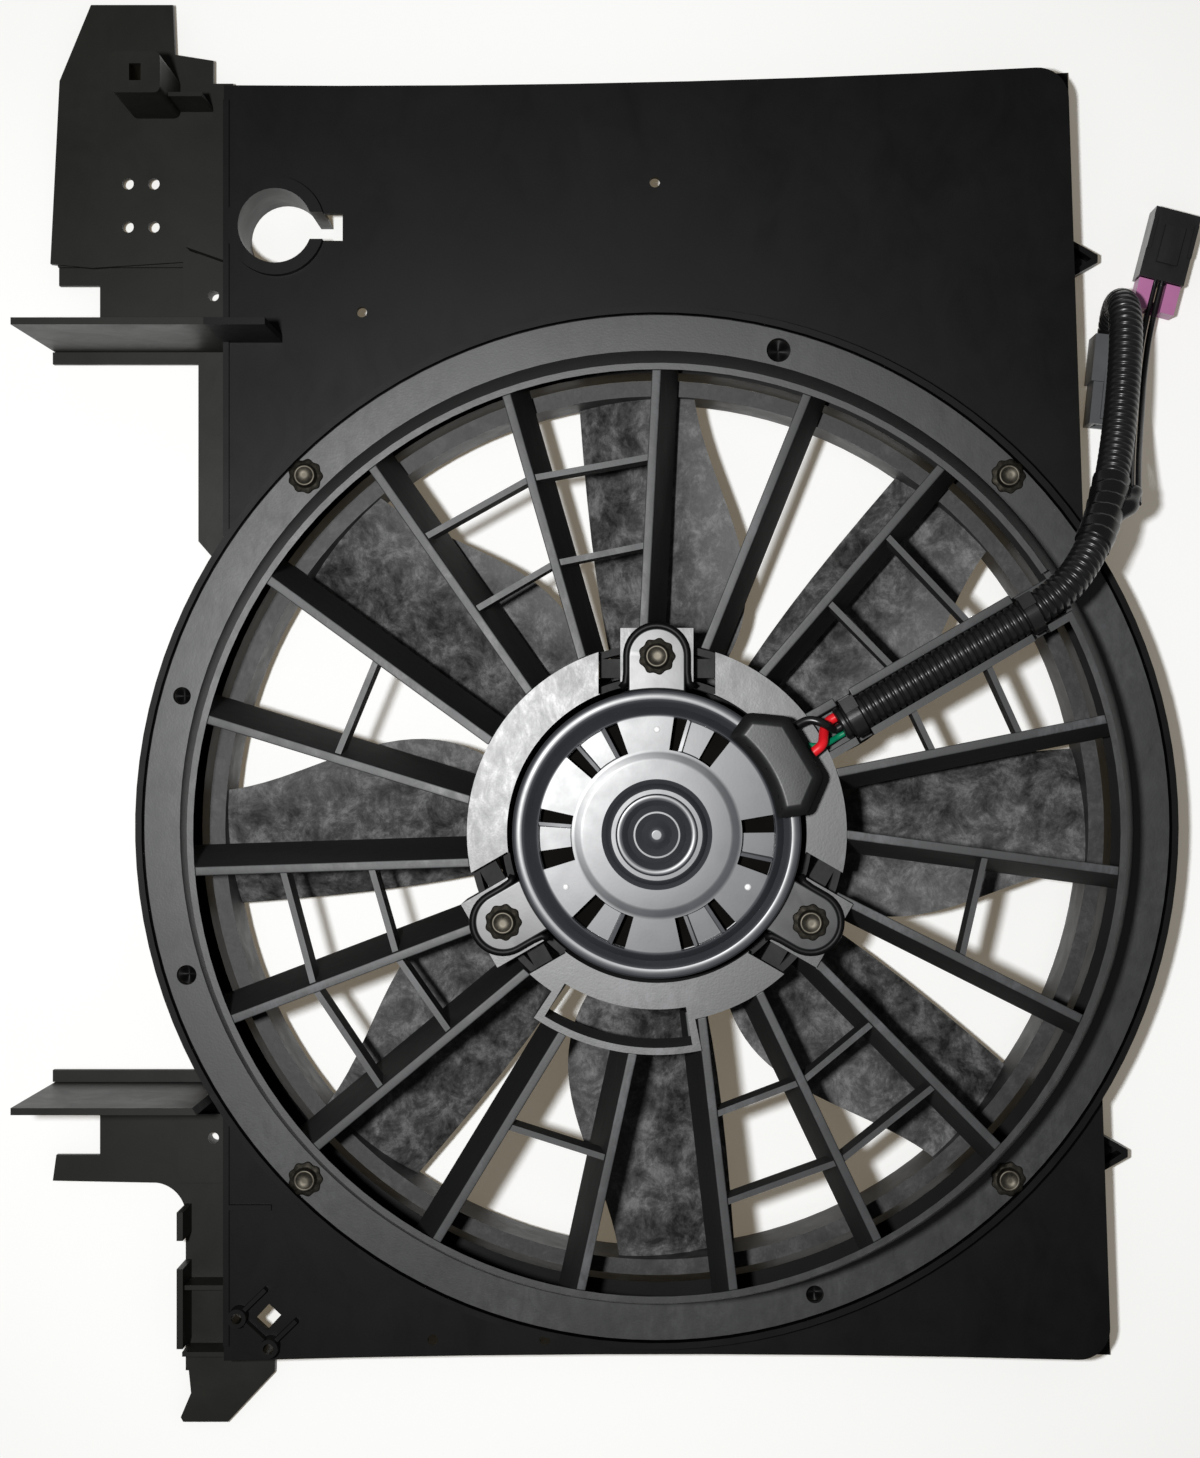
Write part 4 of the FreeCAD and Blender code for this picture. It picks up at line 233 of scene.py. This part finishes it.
def painted(name, color, roughness):
    """Satin paint on pressed steel: smooth, with a faint orange peel."""
    surface = Surface(name)
    surface.set(Specular_IOR_Level=0.55)
    surface.color(surface.ramp(surface.noise(40.0), toned_pair(color, 0.9, 1.1)))
    patches = surface.noise(120.0, detail=6.0)
    surface.rough(surface.ramp(patches, gloss_pair(roughness, 0.02, 0.03)))
    surface.bump(surface.noise(900.0, detail=2.0), strength=0.12, distance=0.00002)
    return surface.material


def metal(name, color, roughness, metallic=1.0, grain=300.0):
    """Bare or plated metal with a fine uneven grain."""
    surface = Surface(name)
    surface.set(Metallic=metallic)
    cloud = surface.noise(grain, detail=5.0, roughness=0.6)
    surface.color(surface.ramp(cloud, toned_pair(color, 0.75, 1.2)))
    surface.rough(surface.ramp(cloud, gloss_pair(roughness, 0.05, 0.07)))
    surface.bump(surface.noise(grain * 4, detail=2.0), strength=0.1, distance=0.00002)
    return surface.material


def insulation(name, color, roughness=0.35, specular=0.4):
    """A wire's smooth, even cover."""
    return moulded(name, color, roughness, variation=0.1, grain=900.0, grain_depth=0.00001,
                   specular=specular)


SOOT = (0.0032, 0.0034, 0.0036)
GRAPHITE = (0.008, 0.0084, 0.0092)
MATERIALS = {
    "black_plastic": moulded(
        "shroud_black", (0.0026, 0.0028, 0.0026), roughness=0.42, variation=0.4, grain=1500.0,
        grain_depth=0.00003, specular=0.12),
    # Painted light in the guard and the wire cover: their top colours are painted paler than their
    # walls' soot by the way the faces look.
    "guard_plastic": rubbed_with_painted_lit_tops(
        "guard_graphite", wall=SOOT, top=(0.030, 0.031, 0.033), streak=(0.095, 0.097, 0.102),
        roughness=0.44, specular=0.42),
    "zinc": metal("zinc_plate", (0.090, 0.082, 0.066), 0.48, grain=900.0),
    "bright_rivet": metal("bright_rivet", (0.85, 0.85, 0.85), 0.55, metallic=0.2),
    "motor_paint": painted("motor_satin", (0.050, 0.053, 0.060), 0.30),
    "ferrite": metal("ferrite", (0.04, 0.04, 0.044), 0.6, metallic=0.3),
    # The brush card is made near black as painted shade, so that the motor's inside shows dark
    # through the louvre windows.
    "card_plastic": moulded("card_board_painted_shade", (0.0035, 0.003, 0.0025), roughness=0.8, specular=0.05),
    "carbon": moulded("carbon_block", (0.012, 0.012, 0.012)),
    "spring_steel": metal("spring_steel", (0.6, 0.6, 0.6), 0.25),
    "bronze": metal("sintered_bronze", (0.45, 0.32, 0.16), 0.5),
    "cover_plastic": rubbed_with_painted_lit_tops(
        "cover_black", wall=SOOT, top=(0.0085, 0.009, 0.010), streak=(0.016, 0.017, 0.018),
        roughness=0.34, specular=0.38),
    "red_insulation": insulation("red_insulation", (0.72, 0.010, 0.018)),
    "green_insulation": insulation("green_insulation", (0.0, 0.20, 0.095)),
    "black_insulation": insulation(
        "black_insulation", (0.006, 0.006, 0.0065), roughness=0.3, specular=0.5),
    "conduit_plastic": moulded(
        "conduit_black", (0.008, 0.008, 0.0085), roughness=0.30, variation=0.15, grain=1200.0,
        grain_depth=0.00001),
    "tie_nylon": moulded("tie_black", (0.010, 0.010, 0.010), roughness=0.3),
    "tape": moulded(
        "tape_black", (0.005, 0.005, 0.0055), roughness=0.26, grain=700.0, grain_depth=0.00006),
    "gray_plug_plastic": moulded(
        "plug_gray", (0.085, 0.088, 0.092), roughness=0.36, variation=0.15, grain_depth=0.00003,
        specular=0.3),
    "plug_plastic": moulded("plug_black", (0.007, 0.007, 0.008), roughness=0.32, variation=0.2),
    "lock_plastic": moulded("lock_mauve", (0.50, 0.17, 0.37), roughness=0.36, variation=0.12),
    "fan_plastic": glass_filled("fan_mottled"),
    "steel": metal("shaft_steel", (0.55, 0.55, 0.55), 0.25),
    "core_steel": metal("core_steel", (0.08, 0.08, 0.085), 0.45),
    "copper": metal("winding_copper", (0.30, 0.11, 0.04), 0.35),
    "copper_bars": metal("commutator_copper", (0.65, 0.30, 0.14), 0.3),
}
# Nodes whose finish differs a little from the rest of their slot. The guard's motor ring has its
# painted light (upper faces painted paler) and its scuffs only above a step in its height.
ARM_BLACK = moulded(
    "arm_black", (0.0085, 0.0085, 0.0066), roughness=0.46, variation=0.4, grain=1500.0,
    grain_depth=0.00003, specular=0.2)
NODE_MATERIALS = {
    "upper_bracket": ARM_BLACK,
    "lower_bracket": ARM_BLACK,
    # Painted light: the ring's and the hub's top colours are painted paler than their walls' soot.
    "guard_ring": rubbed_with_painted_lit_tops(
        "ring_graphite", wall=SOOT, top=GRAPHITE, streak=(0.030, 0.031, 0.034), roughness=0.41,
        specular=0.62),
    "guard_hub": rubbed_with_painted_lit_tops(
        "hub_graphite", wall=SOOT, top=(0.014, 0.0145, 0.016), streak=(0.10, 0.10, 0.108),
        roughness=0.37, specular=0.75, unlit_dull_below=0.0835),
    "fan_ring": glass_filled("ring_mottled", dark=0.010, pale=0.07),
    "fan_hub": glass_filled("fan_hub_mottled", dark=0.012, pale=0.09),
    "motor_can": painted("can_black", (0.009, 0.0095, 0.011), 0.30),
}
SLOTS = {part["node"]: part["material_slot"] for part in frame["record"]["subparts"]}


def dress_node(node):
    mesh_object = frame["nodes"][node]
    material = NODE_MATERIALS.get(node, MATERIALS[SLOTS[node]])
    for slot in mesh_object.material_slots:
        slot.material = material


for node_name in SLOTS:
    dress_node(node_name)

# ---------------------------------------------------------------- finer pieces on the shroud

SHARP = math.radians(38)
WELD_DISTANCE = 0.00001
FLAT_ANGLE = math.radians(0.6)


def new_piece(name, work, material, node=None):
    """A mesh piece of the shroud from a bmesh, smooth but for its sharp edges."""
    for face in work.faces:
        face.smooth = True
    for edge in work.edges:
        edge.smooth = len(edge.link_faces) == 2 and edge.calc_face_angle(0.0) < SHARP
    mesh = bpy.data.meshes.new(name)
    work.to_mesh(mesh)
    work.free()
    mesh.materials.append(material)
    piece = bpy.data.objects.new(name, mesh)
    scene.collection.objects.link(piece)
    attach(piece, "shroud")
    if node:
        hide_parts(node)
    return piece


def flatten_shading(piece):
    """Keeps the large faces of a piece flat next to its small roundings."""
    piece.modifiers.new("flat_faces", "WEIGHTED_NORMAL").keep_sharp = True


def on_circle(radius, turn, height):
    """A point in mm at an angle in radians round a vertical axis."""
    return Vector((radius * math.cos(turn), radius * math.sin(turn), height))


def round_edges(node, width_mm):
    """The CAD piece with its edges rounded as a moulding's or a pressing's are."""
    source = frame["nodes"][node]
    work = bmesh.new()
    work.from_mesh(source.data)
    bmesh.ops.remove_doubles(work, verts=work.verts, dist=WELD_DISTANCE)
    bmesh.ops.dissolve_limit(work, angle_limit=FLAT_ANGLE, verts=work.verts, edges=work.edges)
    edges = [edge for edge in work.edges
             if len(edge.link_faces) == 2 and edge.calc_face_angle(0.0) > SHARP]
    bmesh.ops.bevel(work, geom=edges, offset=width_mm * MM, segments=2, profile=0.5,
                    affect="EDGES", clamp_overlap=False)
    piece = new_piece(node + "_rounded", work, source.data.materials[0], node)
    flatten_shading(piece)


def joined(work, rings, sides):
    """Adds the walls between neighbouring rings of vertices."""
    faces = []
    for first, second in zip(rings, rings[1:]):
        for side in range(sides):
            after = (side + 1) % sides
            faces.append(work.faces.new((first[side], second[side], second[after], first[after])))
    return faces


def turned(work, loops, sides, centre):
    """Adds a skin turned about a vertical axis through a centre in mm, closed at its first loop.

    Each loop gives a radius and height in mm at an angle in radians. The result is the skin's faces
    and its last, open ring of vertices.
    """
    rings = []
    for loop in loops:
        ring = []
        for side in range(sides):
            angle = 2 * math.pi * side / sides
            radius, height = loop(angle)
            ring.append(work.verts.new((centre + on_circle(radius, angle, height)) * MM))
        rings.append(ring)
    lid = work.faces.new(rings[0])
    return [lid] + joined(work, rings, sides), rings[-1]


# The end cap's profile from its middle outward: radius and height in mm.
CAP_PROFILE = (
    (1.5, 106.9), (2.2, 106.8), (2.8, 106.3), (3.3, 105.2), (5.4, 101.9), (7.4, 104.7),
    (7.7, 105.0), (8.3, 105.0), (8.6, 104.7), (10.4, 101.7), (12.0, 105.2), (12.4, 105.8),
    (13.2, 106.0), (14.1, 105.9), (14.4, 105.4), (14.7, 105.9), (16.2, 105.9), (17.0, 105.2),
    (18.2, 100.4), (19.3, 102.0), (19.8, 102.4), (20.6, 102.4), (26.4, 102.4), (27.4, 102.35),
    (29.2, 102.15), (29.8, 102.1), (30.5, 102.1), (31.0, 102.1), (34.0, 102.1), (38.0, 102.1),
    (42.0, 102.1), (42.5, 102.1), (42.9, 102.0), (43.5, 101.2), (45.7, 95.4), (47.3, 98.5),
    (47.8, 99.2), (48.5, 99.5), (50.4, 99.5), (51.2, 99.2), (51.8, 98.2),
)
CAP_SIDES = 480
CAP_SHEET = 0.0012
LOUVRES = [67.0 + 57.5 * index for index in range(6)]
TONGUE_RADII_MM = (30.8, 42.2)
TONGUE_HALF_DEGREES = 6.4
TONGUE_DROP_MM = 4.0
WINDOW_RADII_MM = (30.6, 42.4)
WINDOW_DEGREES = (6.6, 15.0)
RIVET_CIRCLE_MM = 37.5
RIVET_SEAT_MM = 102.1
RIVET_PROFILE = ((0.3, 0.45), (0.8, 0.38), (1.15, 0.15), (1.3, -0.3))


def from_louvre(angle):
    """Degrees between a direction and the middle of the nearest louvre."""
    return min(abs((math.degrees(angle) - middle + 180) % 360 - 180) for middle in LOUVRES)


def cap_loop(radius, height):
    """A ring of the end cap, dropped where it crosses a louvre's tongue."""
    def loop(angle):
        crosses = TONGUE_RADII_MM[0] < radius < TONGUE_RADII_MM[1]
        dropped = crosses and from_louvre(angle) < TONGUE_HALF_DEGREES
        return radius, height - TONGUE_DROP_MM if dropped else height
    return loop


def in_window(face):
    """Whether a face of the end cap lies in one of the openings beside the louvres' tongues."""
    offset = face.calc_center_median() - AXIS
    away = from_louvre(math.atan2(offset.y, offset.x))
    return (WINDOW_RADII_MM[0] < offset.to_2d().length / MM < WINDOW_RADII_MM[1]
            and WINDOW_DEGREES[0] < away < WINDOW_DEGREES[1])


def make_end_cap():
    """The pressed end cap with its fine rings, the louvre windows and three bright rivets."""
    work = bmesh.new()
    faces, _ = turned(work, [cap_loop(*point) for point in CAP_PROFILE], CAP_SIDES, AXIS / MM)
    windows = [face for face in faces if in_window(face)]
    bmesh.ops.delete(work, geom=windows, context="FACES")
    bmesh.ops.solidify(work, geom=work.faces[:], thickness=CAP_SHEET)
    cap = new_piece("motor_end_cap_rings", work, MATERIALS["motor_paint"],
                    "motor_end_cap")
    flatten_shading(cap)
    dome = [lambda angle, point=point: point for point in RIVET_PROFILE]
    for index in range(3):
        turn = math.radians(90 + 120 * index)
        work = bmesh.new()
        turned(work, dome, 24, AXIS / MM + on_circle(RIVET_CIRCLE_MM, turn, RIVET_SEAT_MM))
        new_piece("end_cap_rivet_%d" % index, work, MATERIALS["bright_rivet"])


# A flanged screw from its top down: radius and height in mm over the seat, and the lobes' height.
SCREW_PROFILE = (
    (0.8, 3.9, 0), (2.6, 3.9, 0), (3.1, 4.5, 0), (3.7, 4.6, 0), (4.1, 4.3, 0), (4.3, 1.9, 0),
    (4.8, 1.5, 0.1), (6.0, 1.1, 0.35), (6.4, 0.7, 0.35), (6.4, 0.0, 0.35), (2.9, 0.0, 0),
    (2.9, -12.0, 0), (1.9, -14.0, 0),
)
SCREW_LOBES = 9


def screw_loop(radius, height, lobe):
    return lambda angle: (radius + lobe * math.cos(SCREW_LOBES * angle), height)


def make_screws(node, circle, first, count, seat):
    """Flanged screws with a raised ring on the head and lobes round the flange.

    circle and seat are their circle's radius and their seats' height in mm, and first is the first
    one's direction in degrees.
    """
    work = bmesh.new()
    for index in range(count):
        turn = math.radians(first + index * 360.0 / count)
        centre = AXIS / MM + on_circle(circle, turn, seat)
        _, tip = turned(work, [screw_loop(*point) for point in SCREW_PROFILE], 72, centre)
        work.faces.new(tip)
    new_piece(node + "_heads", work, MATERIALS["zinc"], node)


# The spare holes: their direction from the axis, and the radius in mm of the dark disc of painted
# shade under each.
SPARE_HOLES = ((75.7, 4.55), (164.5, 3.35), (197.4, 3.75), (288.7, 3.35))
SPARE_HOLE_INSET_MM = 7.5
SHADE_DISC_HEIGHT_MM = 32.6
SHADE_DISC_WAVE_MM = 0.9


def shade_disc_loop(radius, height):
    return lambda angle: (radius, height + SHADE_DISC_WAVE_MM * math.cos(2 * angle))


def fill_spare_holes():
    """Dark discs under the guard flange's spare holes: painted shade that makes the holes look
    dark.
    """
    low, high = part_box("guard_ring")
    circle = (high[0] - low[0]) / 2 / MM - SPARE_HOLE_INSET_MM
    for index, (degrees, radius) in enumerate(SPARE_HOLES):
        profile = ((0.4, 0.0), (radius * 0.6, 0.2), (radius * 0.9, 0.6), (radius, 0.7))
        centre = AXIS / MM + on_circle(circle, math.radians(degrees), SHADE_DISC_HEIGHT_MM)
        work = bmesh.new()
        turned(work, [shade_disc_loop(*point) for point in profile], 48, centre)
        # Each disc is black plastic standing in for the shade in its hole.
        new_piece("hole_shade_disc_%d" % index, work, MATERIALS["black_plastic"])


# The strip inside a rounded pan corner. Its section is given as radius and height in mm.
CORNER_DEGREES = 66
CORNER_STEPS = 16
CORNER_SECTION = ((11.9, 0.4), (11.9, 28.6), (9.2, 28.6), (9.2, 0.4))


def close_pan_corner(name, x, y, middle):
    """A curved strip that closes the slit in one of the pan's right corners.

    x and y are the centre of its rounding in mm, and middle is the way the strip looks, in degrees.
    """
    work = bmesh.new()
    columns = []
    for step in range(CORNER_STEPS + 1):
        turn = math.radians(middle - CORNER_DEGREES / 2 + CORNER_DEGREES * step / CORNER_STEPS)
        column = []
        for radius, height in CORNER_SECTION:
            place = Vector((x + radius * math.cos(turn), y + radius * math.sin(turn), height))
            column.append(work.verts.new(place * MM))
        columns.append(column)
    joined(work, columns, len(CORNER_SECTION))
    work.faces.new(columns[0])
    work.faces.new(reversed(columns[-1]))
    new_piece(name, work, MATERIALS["black_plastic"])


# The line along one side of a motor tab: mm outward from the axis, and mm aside.
TAB_START = [(52.5, 13.0), (54.5, 11.3), (58.0, 10.9)]
TAB_END_MM = 64.2
TAB_RADIUS_MM = 10.9
TAB_TOP_MM = 92.2
TAB_EDGE_WIDTH_MM = 1.35
TAB_EDGE_SIDES = 12


def tab_path():
    """The line round a motor tab: in along one side, round its end and back along the other."""
    angles = [math.radians(degrees) for degrees in range(0, 181, 10)]
    end = [(TAB_END_MM + TAB_RADIUS_MM * math.sin(a), TAB_RADIUS_MM * math.cos(a)) for a in angles]
    return TAB_START + end + [(along, -side) for along, side in reversed(TAB_START)]


def outline_tabs():
    """A rolled edge round the motor's three mounting tabs, in near-black plastic: painted shade
    where the rounded edge turns from the lamp.
    """
    path = tab_path()
    upright = Vector((0, 0, 1))
    for index in range(3):
        turn = math.radians(90 + 120 * index)
        outward = Vector((math.cos(turn), math.sin(turn), 0.0))
        across = Vector((-outward.y, outward.x, 0.0))
        work = bmesh.new()
        rings = []
        for step, (along, side) in enumerate(path):
            before = Vector(path[max(step - 1, 0)])
            after = Vector(path[min(step + 1, len(path) - 1)])
            run = (after - before).normalized()
            normal = outward * -run.y + across * run.x
            centre = AXIS / MM + outward * along + across * side + Vector((0.0, 0.0, TAB_TOP_MM))
            ring = []
            for corner in range(TAB_EDGE_SIDES):
                angle = 2 * math.pi * corner / TAB_EDGE_SIDES
                spoke = normal * math.cos(angle) * TAB_EDGE_WIDTH_MM + upright * math.sin(angle)
                ring.append(work.verts.new((centre + spoke) * MM))
            rings.append(ring)
        for first, second in zip(rings, rings[1:]):
            for corner in range(TAB_EDGE_SIDES):
                other = (corner + 1) % TAB_EDGE_SIDES
                work.faces.new((first[corner], first[other], second[other], second[corner]))
        work.faces.new(rings[0])
        work.faces.new(rings[-1])
        # Near-black plastic in place of the tabs' paint: painted shade along the rounded edge.
        new_piece("tab_shaded_edge_%d" % index, work, MATERIALS["black_plastic"])


close_pan_corner("pan_corner_wall_lower", 182.8, -236.9, -44.0)
close_pan_corner("pan_corner_wall_upper", 166.85, 237.5, 47.0)
make_end_cap()
outline_tabs()
make_screws("ring_screws", circle=190.0, first=45.0, count=4, seat=38.0)
make_screws("motor_screws", circle=63.9, first=90.0, count=3, seat=93.4)
fill_spare_holes()
for node_name, width in (("guard_vanes", 0.5), ("motor_can", 0.7), ("wire_cover", 1.6)):
    round_edges(node_name, width)

# ---------------------------------------------------------------- harness

CONDUIT_RADIUS = 6.4 * MM
CONDUIT_VALLEY = 5.3 * MM
CONDUIT_PITCH = 2.75 * MM
CONDUIT_STEPS_PER_RING = 8
TAPE_TURN = 5.5 * MM
TAPE_STEPS = 70
KNOT_STEPS = 40
LEAD_RADIUS_MM = 1.2
# The routes' points are in mm: x and y from the fan's axis, and z over the shroud's lower edges.
CONDUIT_ROUTE = [
    (66.36, 39.06, 88.2),
    (102.56, 60.35, 88.2),
    (145.57, 85.27, 88.2),
    (157.3, 100.0, 82.4),
    (165.8, 118.0, 70.5),
    (171.5, 139.0, 59.5),
    (175.5, 161.0, 51.0),
    (178.0, 180.0, 44.8),
    (179.2, 192.9, 39.9),
    (179.8, 202.1, 30.7),
    (179.9, 202.1, 17.7),
    (179.87, 192.9, 8.5),
    (178.61, 180.96, 8.5),
]
KNOT_ROUTE = [
    (165.5, 115.5, 70.5),
    (171.5, 118.5, 69.8),
    (176.4, 121.6, 67.2),
    (178.2, 127.0, 61.6),
]
INNER_LEAD_ROUTE = [
    (175.85, 121.2, 67.4),
    (178.55, 136.0, 53.0),
    (182.05, 149.0, 38.0),
    (185.55, 163.0, 24.0),
    (188.65, 178.0, 12.5),
    (192.01, 196.84, 8.03),
    (196.39, 213.78, 8.03),
]
OUTER_LEAD_ROUTE = [
    (178.55, 121.2, 67.4),
    (181.25, 136.0, 53.0),
    (184.75, 149.0, 38.0),
    (188.25, 163.0, 24.0),
    (191.35, 178.0, 12.5),
    (194.62, 196.17, 8.03),
    (199.0, 213.11, 8.03),
]


def route_curve(name, points):
    """A smooth open curve through a cord's route."""
    curve = bpy.data.curves.new(name, "CURVE")
    curve.dimensions = "3D"
    spline = curve.splines.new("NURBS")
    spline.points.add(len(points) - 1)
    for target, (x, y, z) in zip(spline.points, points):
        target.co = (AXIS.x + x * MM, AXIS.y + y * MM, z * MM, 1.0)
    spline.order_u = 3
    spline.use_endpoint_u = True
    spline.resolution_u = 24
    piece = bpy.data.objects.new(name, curve)
    scene.collection.objects.link(piece)
    return piece


def centreline(curve_object):
    """The points of a curve with no bevel. The curve's object goes."""
    mesh = bpy.data.meshes.new_from_object(curve_object)
    points = [vertex.co.copy() for vertex in mesh.vertices]
    bpy.data.meshes.remove(mesh)
    bpy.data.objects.remove(curve_object)
    return points


def path_length(points):
    return sum((b - a).length for a, b in zip(points, points[1:]))


def point_along(points, distance):
    """The place and direction at a distance along a line of points."""
    for a, b in zip(points, points[1:]):
        step = (b - a).length
        if distance <= step or b is points[-1]:
            return a.lerp(b, distance / step), (b - a).normalized()
        distance -= step


def evenly(start, end, count):
    return [start + (end - start) * index / count for index in range(count + 1)]


def swept(name, points, stations, sides, radius_at):
    """A closed mesh tube along a line. radius_at(distance, angle) is its radius in metres."""
    vertices = []
    faces = []
    for station in stations:
        centre, direction = point_along(points, station)
        right = direction.cross(Vector((0, 0, 1)))
        if right.length < 0.2:
            right = direction.cross(Vector((1, 0, 0)))
        right.normalize()
        up = right.cross(direction)
        for side in range(sides):
            angle = 2 * math.pi * side / sides
            radius = radius_at(station, angle)
            vertices.append(centre + (right * math.cos(angle) + up * math.sin(angle)) * radius)
    for ring in range(len(stations) - 1):
        for side in range(sides):
            a = ring * sides + side
            b = ring * sides + (side + 1) % sides
            faces.append((a, b, b + sides, a + sides))
    faces.append(tuple(reversed(range(sides))))
    last = (len(stations) - 1) * sides
    faces.append(tuple(range(last, last + sides)))
    mesh = bpy.data.meshes.new(name)
    mesh.from_pydata(vertices, [], faces)
    mesh.polygons.foreach_set("use_smooth", [True] * len(mesh.polygons))
    piece = bpy.data.objects.new(name, mesh)
    scene.collection.objects.link(piece)
    return piece


def dress(piece, slot, node=None):
    """Gives a piece of the harness its material and slot, and puts it in its node's place."""
    piece.data.materials.append(MATERIALS[slot])
    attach(piece, "shroud")
    if node:
        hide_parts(node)
    return piece


def corrugation(distance, angle):
    """The conduit's radius: flat-topped rings with narrow valleys between them."""
    phase = (distance / CONDUIT_PITCH) % 1.0
    swell = min(1.0, max(0.0, 1.6 * math.sin(math.pi * phase)))
    return CONDUIT_VALLEY + (CONDUIT_RADIUS - CONDUIT_VALLEY) * swell


def make_conduit():
    """The corrugated conduit over its route, with the tape wound round its bend."""
    points = centreline(route_curve("conduit_line", CONDUIT_ROUTE))
    length = path_length(points)
    stations = evenly(0.0, length, int(length / CONDUIT_PITCH * CONDUIT_STEPS_PER_RING))
    tube = swept("corrugated_conduit", points, stations, 28, corrugation)
    dress(tube, "conduit_plastic", "conduit")
    wrap = make_tape(points)
    knot = make_knot()


def make_knot():
    """The lump of tape where the two thin leads part from the conduit."""
    points = centreline(route_curve("knot_line", KNOT_ROUTE))
    length = path_length(points)

    def lump(distance, angle):
        share = distance / length
        turns = 0.25 * math.sin(distance / (1.5 * MM) + angle)
        return (4.4 - 1.5 * share + turns) * MM * min(1.0, 0.75 + 4 * (1 - share))

    return dress(swept("tape_knot", points, evenly(0.0, length, KNOT_STEPS), 24, lump), "tape")


def make_tape(points):
    """Cloth tape in overlapping turns, each turn's edge standing a little proud."""
    low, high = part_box("tape_wrap")
    inside = [index for index, point in enumerate(points)
              if low.y < point.y < high.y and point.x > low.x]
    start = path_length(points[: inside[0] + 1])
    end = path_length(points[: inside[-1] + 1])

    def tape_radius(distance, angle):
        lap = ((distance - start) / TAPE_TURN + angle / (2 * math.pi)) % 1.0
        crease = 0.12 * MM * math.sin(5 * angle + 300 * distance)
        return CONDUIT_RADIUS + (0.35 + 0.42 * lap) * MM + crease

    wrap = swept("tape_turns", points, evenly(start, end, TAPE_STEPS), 40, tape_radius)
    return dress(wrap, "tape", "tape_wrap")


def make_lead(name, node, route):
    """A thin black lead over its route."""
    line = route_curve(name, route)
    line.data.bevel_depth = LEAD_RADIUS_MM * MM
    line.data.bevel_resolution = 5
    line.data.use_fill_caps = True
    dress(line, "black_insulation", node)
    bare = line.data.copy()
    bare.bevel_depth = 0
    length = path_length(centreline(bpy.data.objects.new("probe", bare)))


make_conduit()
make_lead("sensor_lead_inner", "inner_sensor_lead", INNER_LEAD_ROUTE)
make_lead("sensor_lead_outer", "outer_sensor_lead", OUTER_LEAD_ROUTE)

# ---------------------------------------------------------------- floor, lamp and camera

FLOOR_SIZE = 8.0
FLOOR_GAP = 0.4 * MM
FLOOR_SHADES = [(0.2, (0.94, 0.965, 0.99)), (0.8, (0.955, 0.98, 1.0))]
FLOOR_LIFT_COLOR = (1.0, 0.83, 0.58, 1.0)
FLOOR_LIFT = 0.14
WORLD_STRENGTH = 0.14


def seen_directly(surface):
    """1 for what the camera sees, itself or in a mirror or through glass, and 0 for the rest."""
    rays = surface.nodes.new("ShaderNodeLightPath")
    seen = rays.outputs["Is Camera Ray"]
    for kind in ("Is Glossy Ray", "Is Transmission Ray"):
        either = surface.nodes.new("ShaderNodeMath")
        either.operation = "MAXIMUM"
        surface.links.new(seen, either.inputs[0])
        surface.links.new(rays.outputs[kind], either.inputs[1])
        seen = either.outputs[0]
    return seen


def make_floor():
    """A white floor that keeps the object's shadow, lifted a little where the camera sees it."""
    floor_height = cad_box[0][2] - FLOOR_GAP
    bpy.ops.mesh.primitive_plane_add(size=FLOOR_SIZE, location=(0, 0, floor_height))
    floor = bpy.context.object
    floor.name = "floor"
    surface = Surface("floor_white")
    surface.set(Roughness=0.9, Specular_IOR_Level=0.1)
    surface.color(surface.ramp(surface.noise(3.0, detail=2.0), FLOOR_SHADES))
    nodes, links = surface.nodes, surface.links
    lift = nodes.new("ShaderNodeEmission")
    lift.inputs["Color"].default_value = FLOOR_LIFT_COLOR
    lift.inputs["Strength"].default_value = FLOOR_LIFT
    none = nodes.new("ShaderNodeEmission")
    none.inputs["Strength"].default_value = 0.0
    choice = nodes.new("ShaderNodeMixShader")
    links.new(seen_directly(surface), choice.inputs[0])
    links.new(none.outputs[0], choice.inputs[1])
    links.new(lift.outputs[0], choice.inputs[2])
    total = nodes.new("ShaderNodeAddShader")
    links.new(surface.shader.outputs[0], total.inputs[0])
    links.new(choice.outputs[0], total.inputs[1])
    links.new(total.outputs[0], nodes["Material Output"].inputs["Surface"])
    floor.data.materials.append(surface.material)


def make_world():
    world = bpy.data.worlds.new("studio")
    scene.world = world
    world.use_nodes = True
    background = world.node_tree.nodes["Background"]
    background.inputs["Color"].default_value = (1.0, 1.0, 1.0, 1.0)
    background.inputs["Strength"].default_value = WORLD_STRENGTH


def make_lamp(name, place, aim, size, power):
    light = bpy.data.lights.new(name, "AREA")
    light.shape = "DISK"
    light.size = size
    light.energy = power
    lamp = bpy.data.objects.new(name, light)
    lamp.location = place
    lamp.rotation_euler = (Vector(aim) - Vector(place)).to_track_quat("-Z", "Y").to_euler()
    scene.collection.objects.link(lamp)


def make_camera():
    """The photograph's camera: it looks straight down from a metre over the floor."""
    camera = bpy.data.cameras.new("camera")
    camera.sensor_width = 36.0
    camera.lens = 62.1
    camera.shift_x = -0.039
    camera.clip_start = 0.01
    eye = bpy.data.objects.new("camera", camera)
    eye.location = (AXIS.x, AXIS.y + 37.7 * MM, 1.0)
    scene.collection.objects.link(eye)
    scene.camera = eye


make_floor()
make_world()
make_lamp("key", place=(AXIS.x - 0.120, AXIS.y + 0.050, 1.02), aim=(AXIS.x, AXIS.y, 0.05),
          size=0.05, power=9.0)
make_camera()
scene.view_settings.view_transform = "Standard"
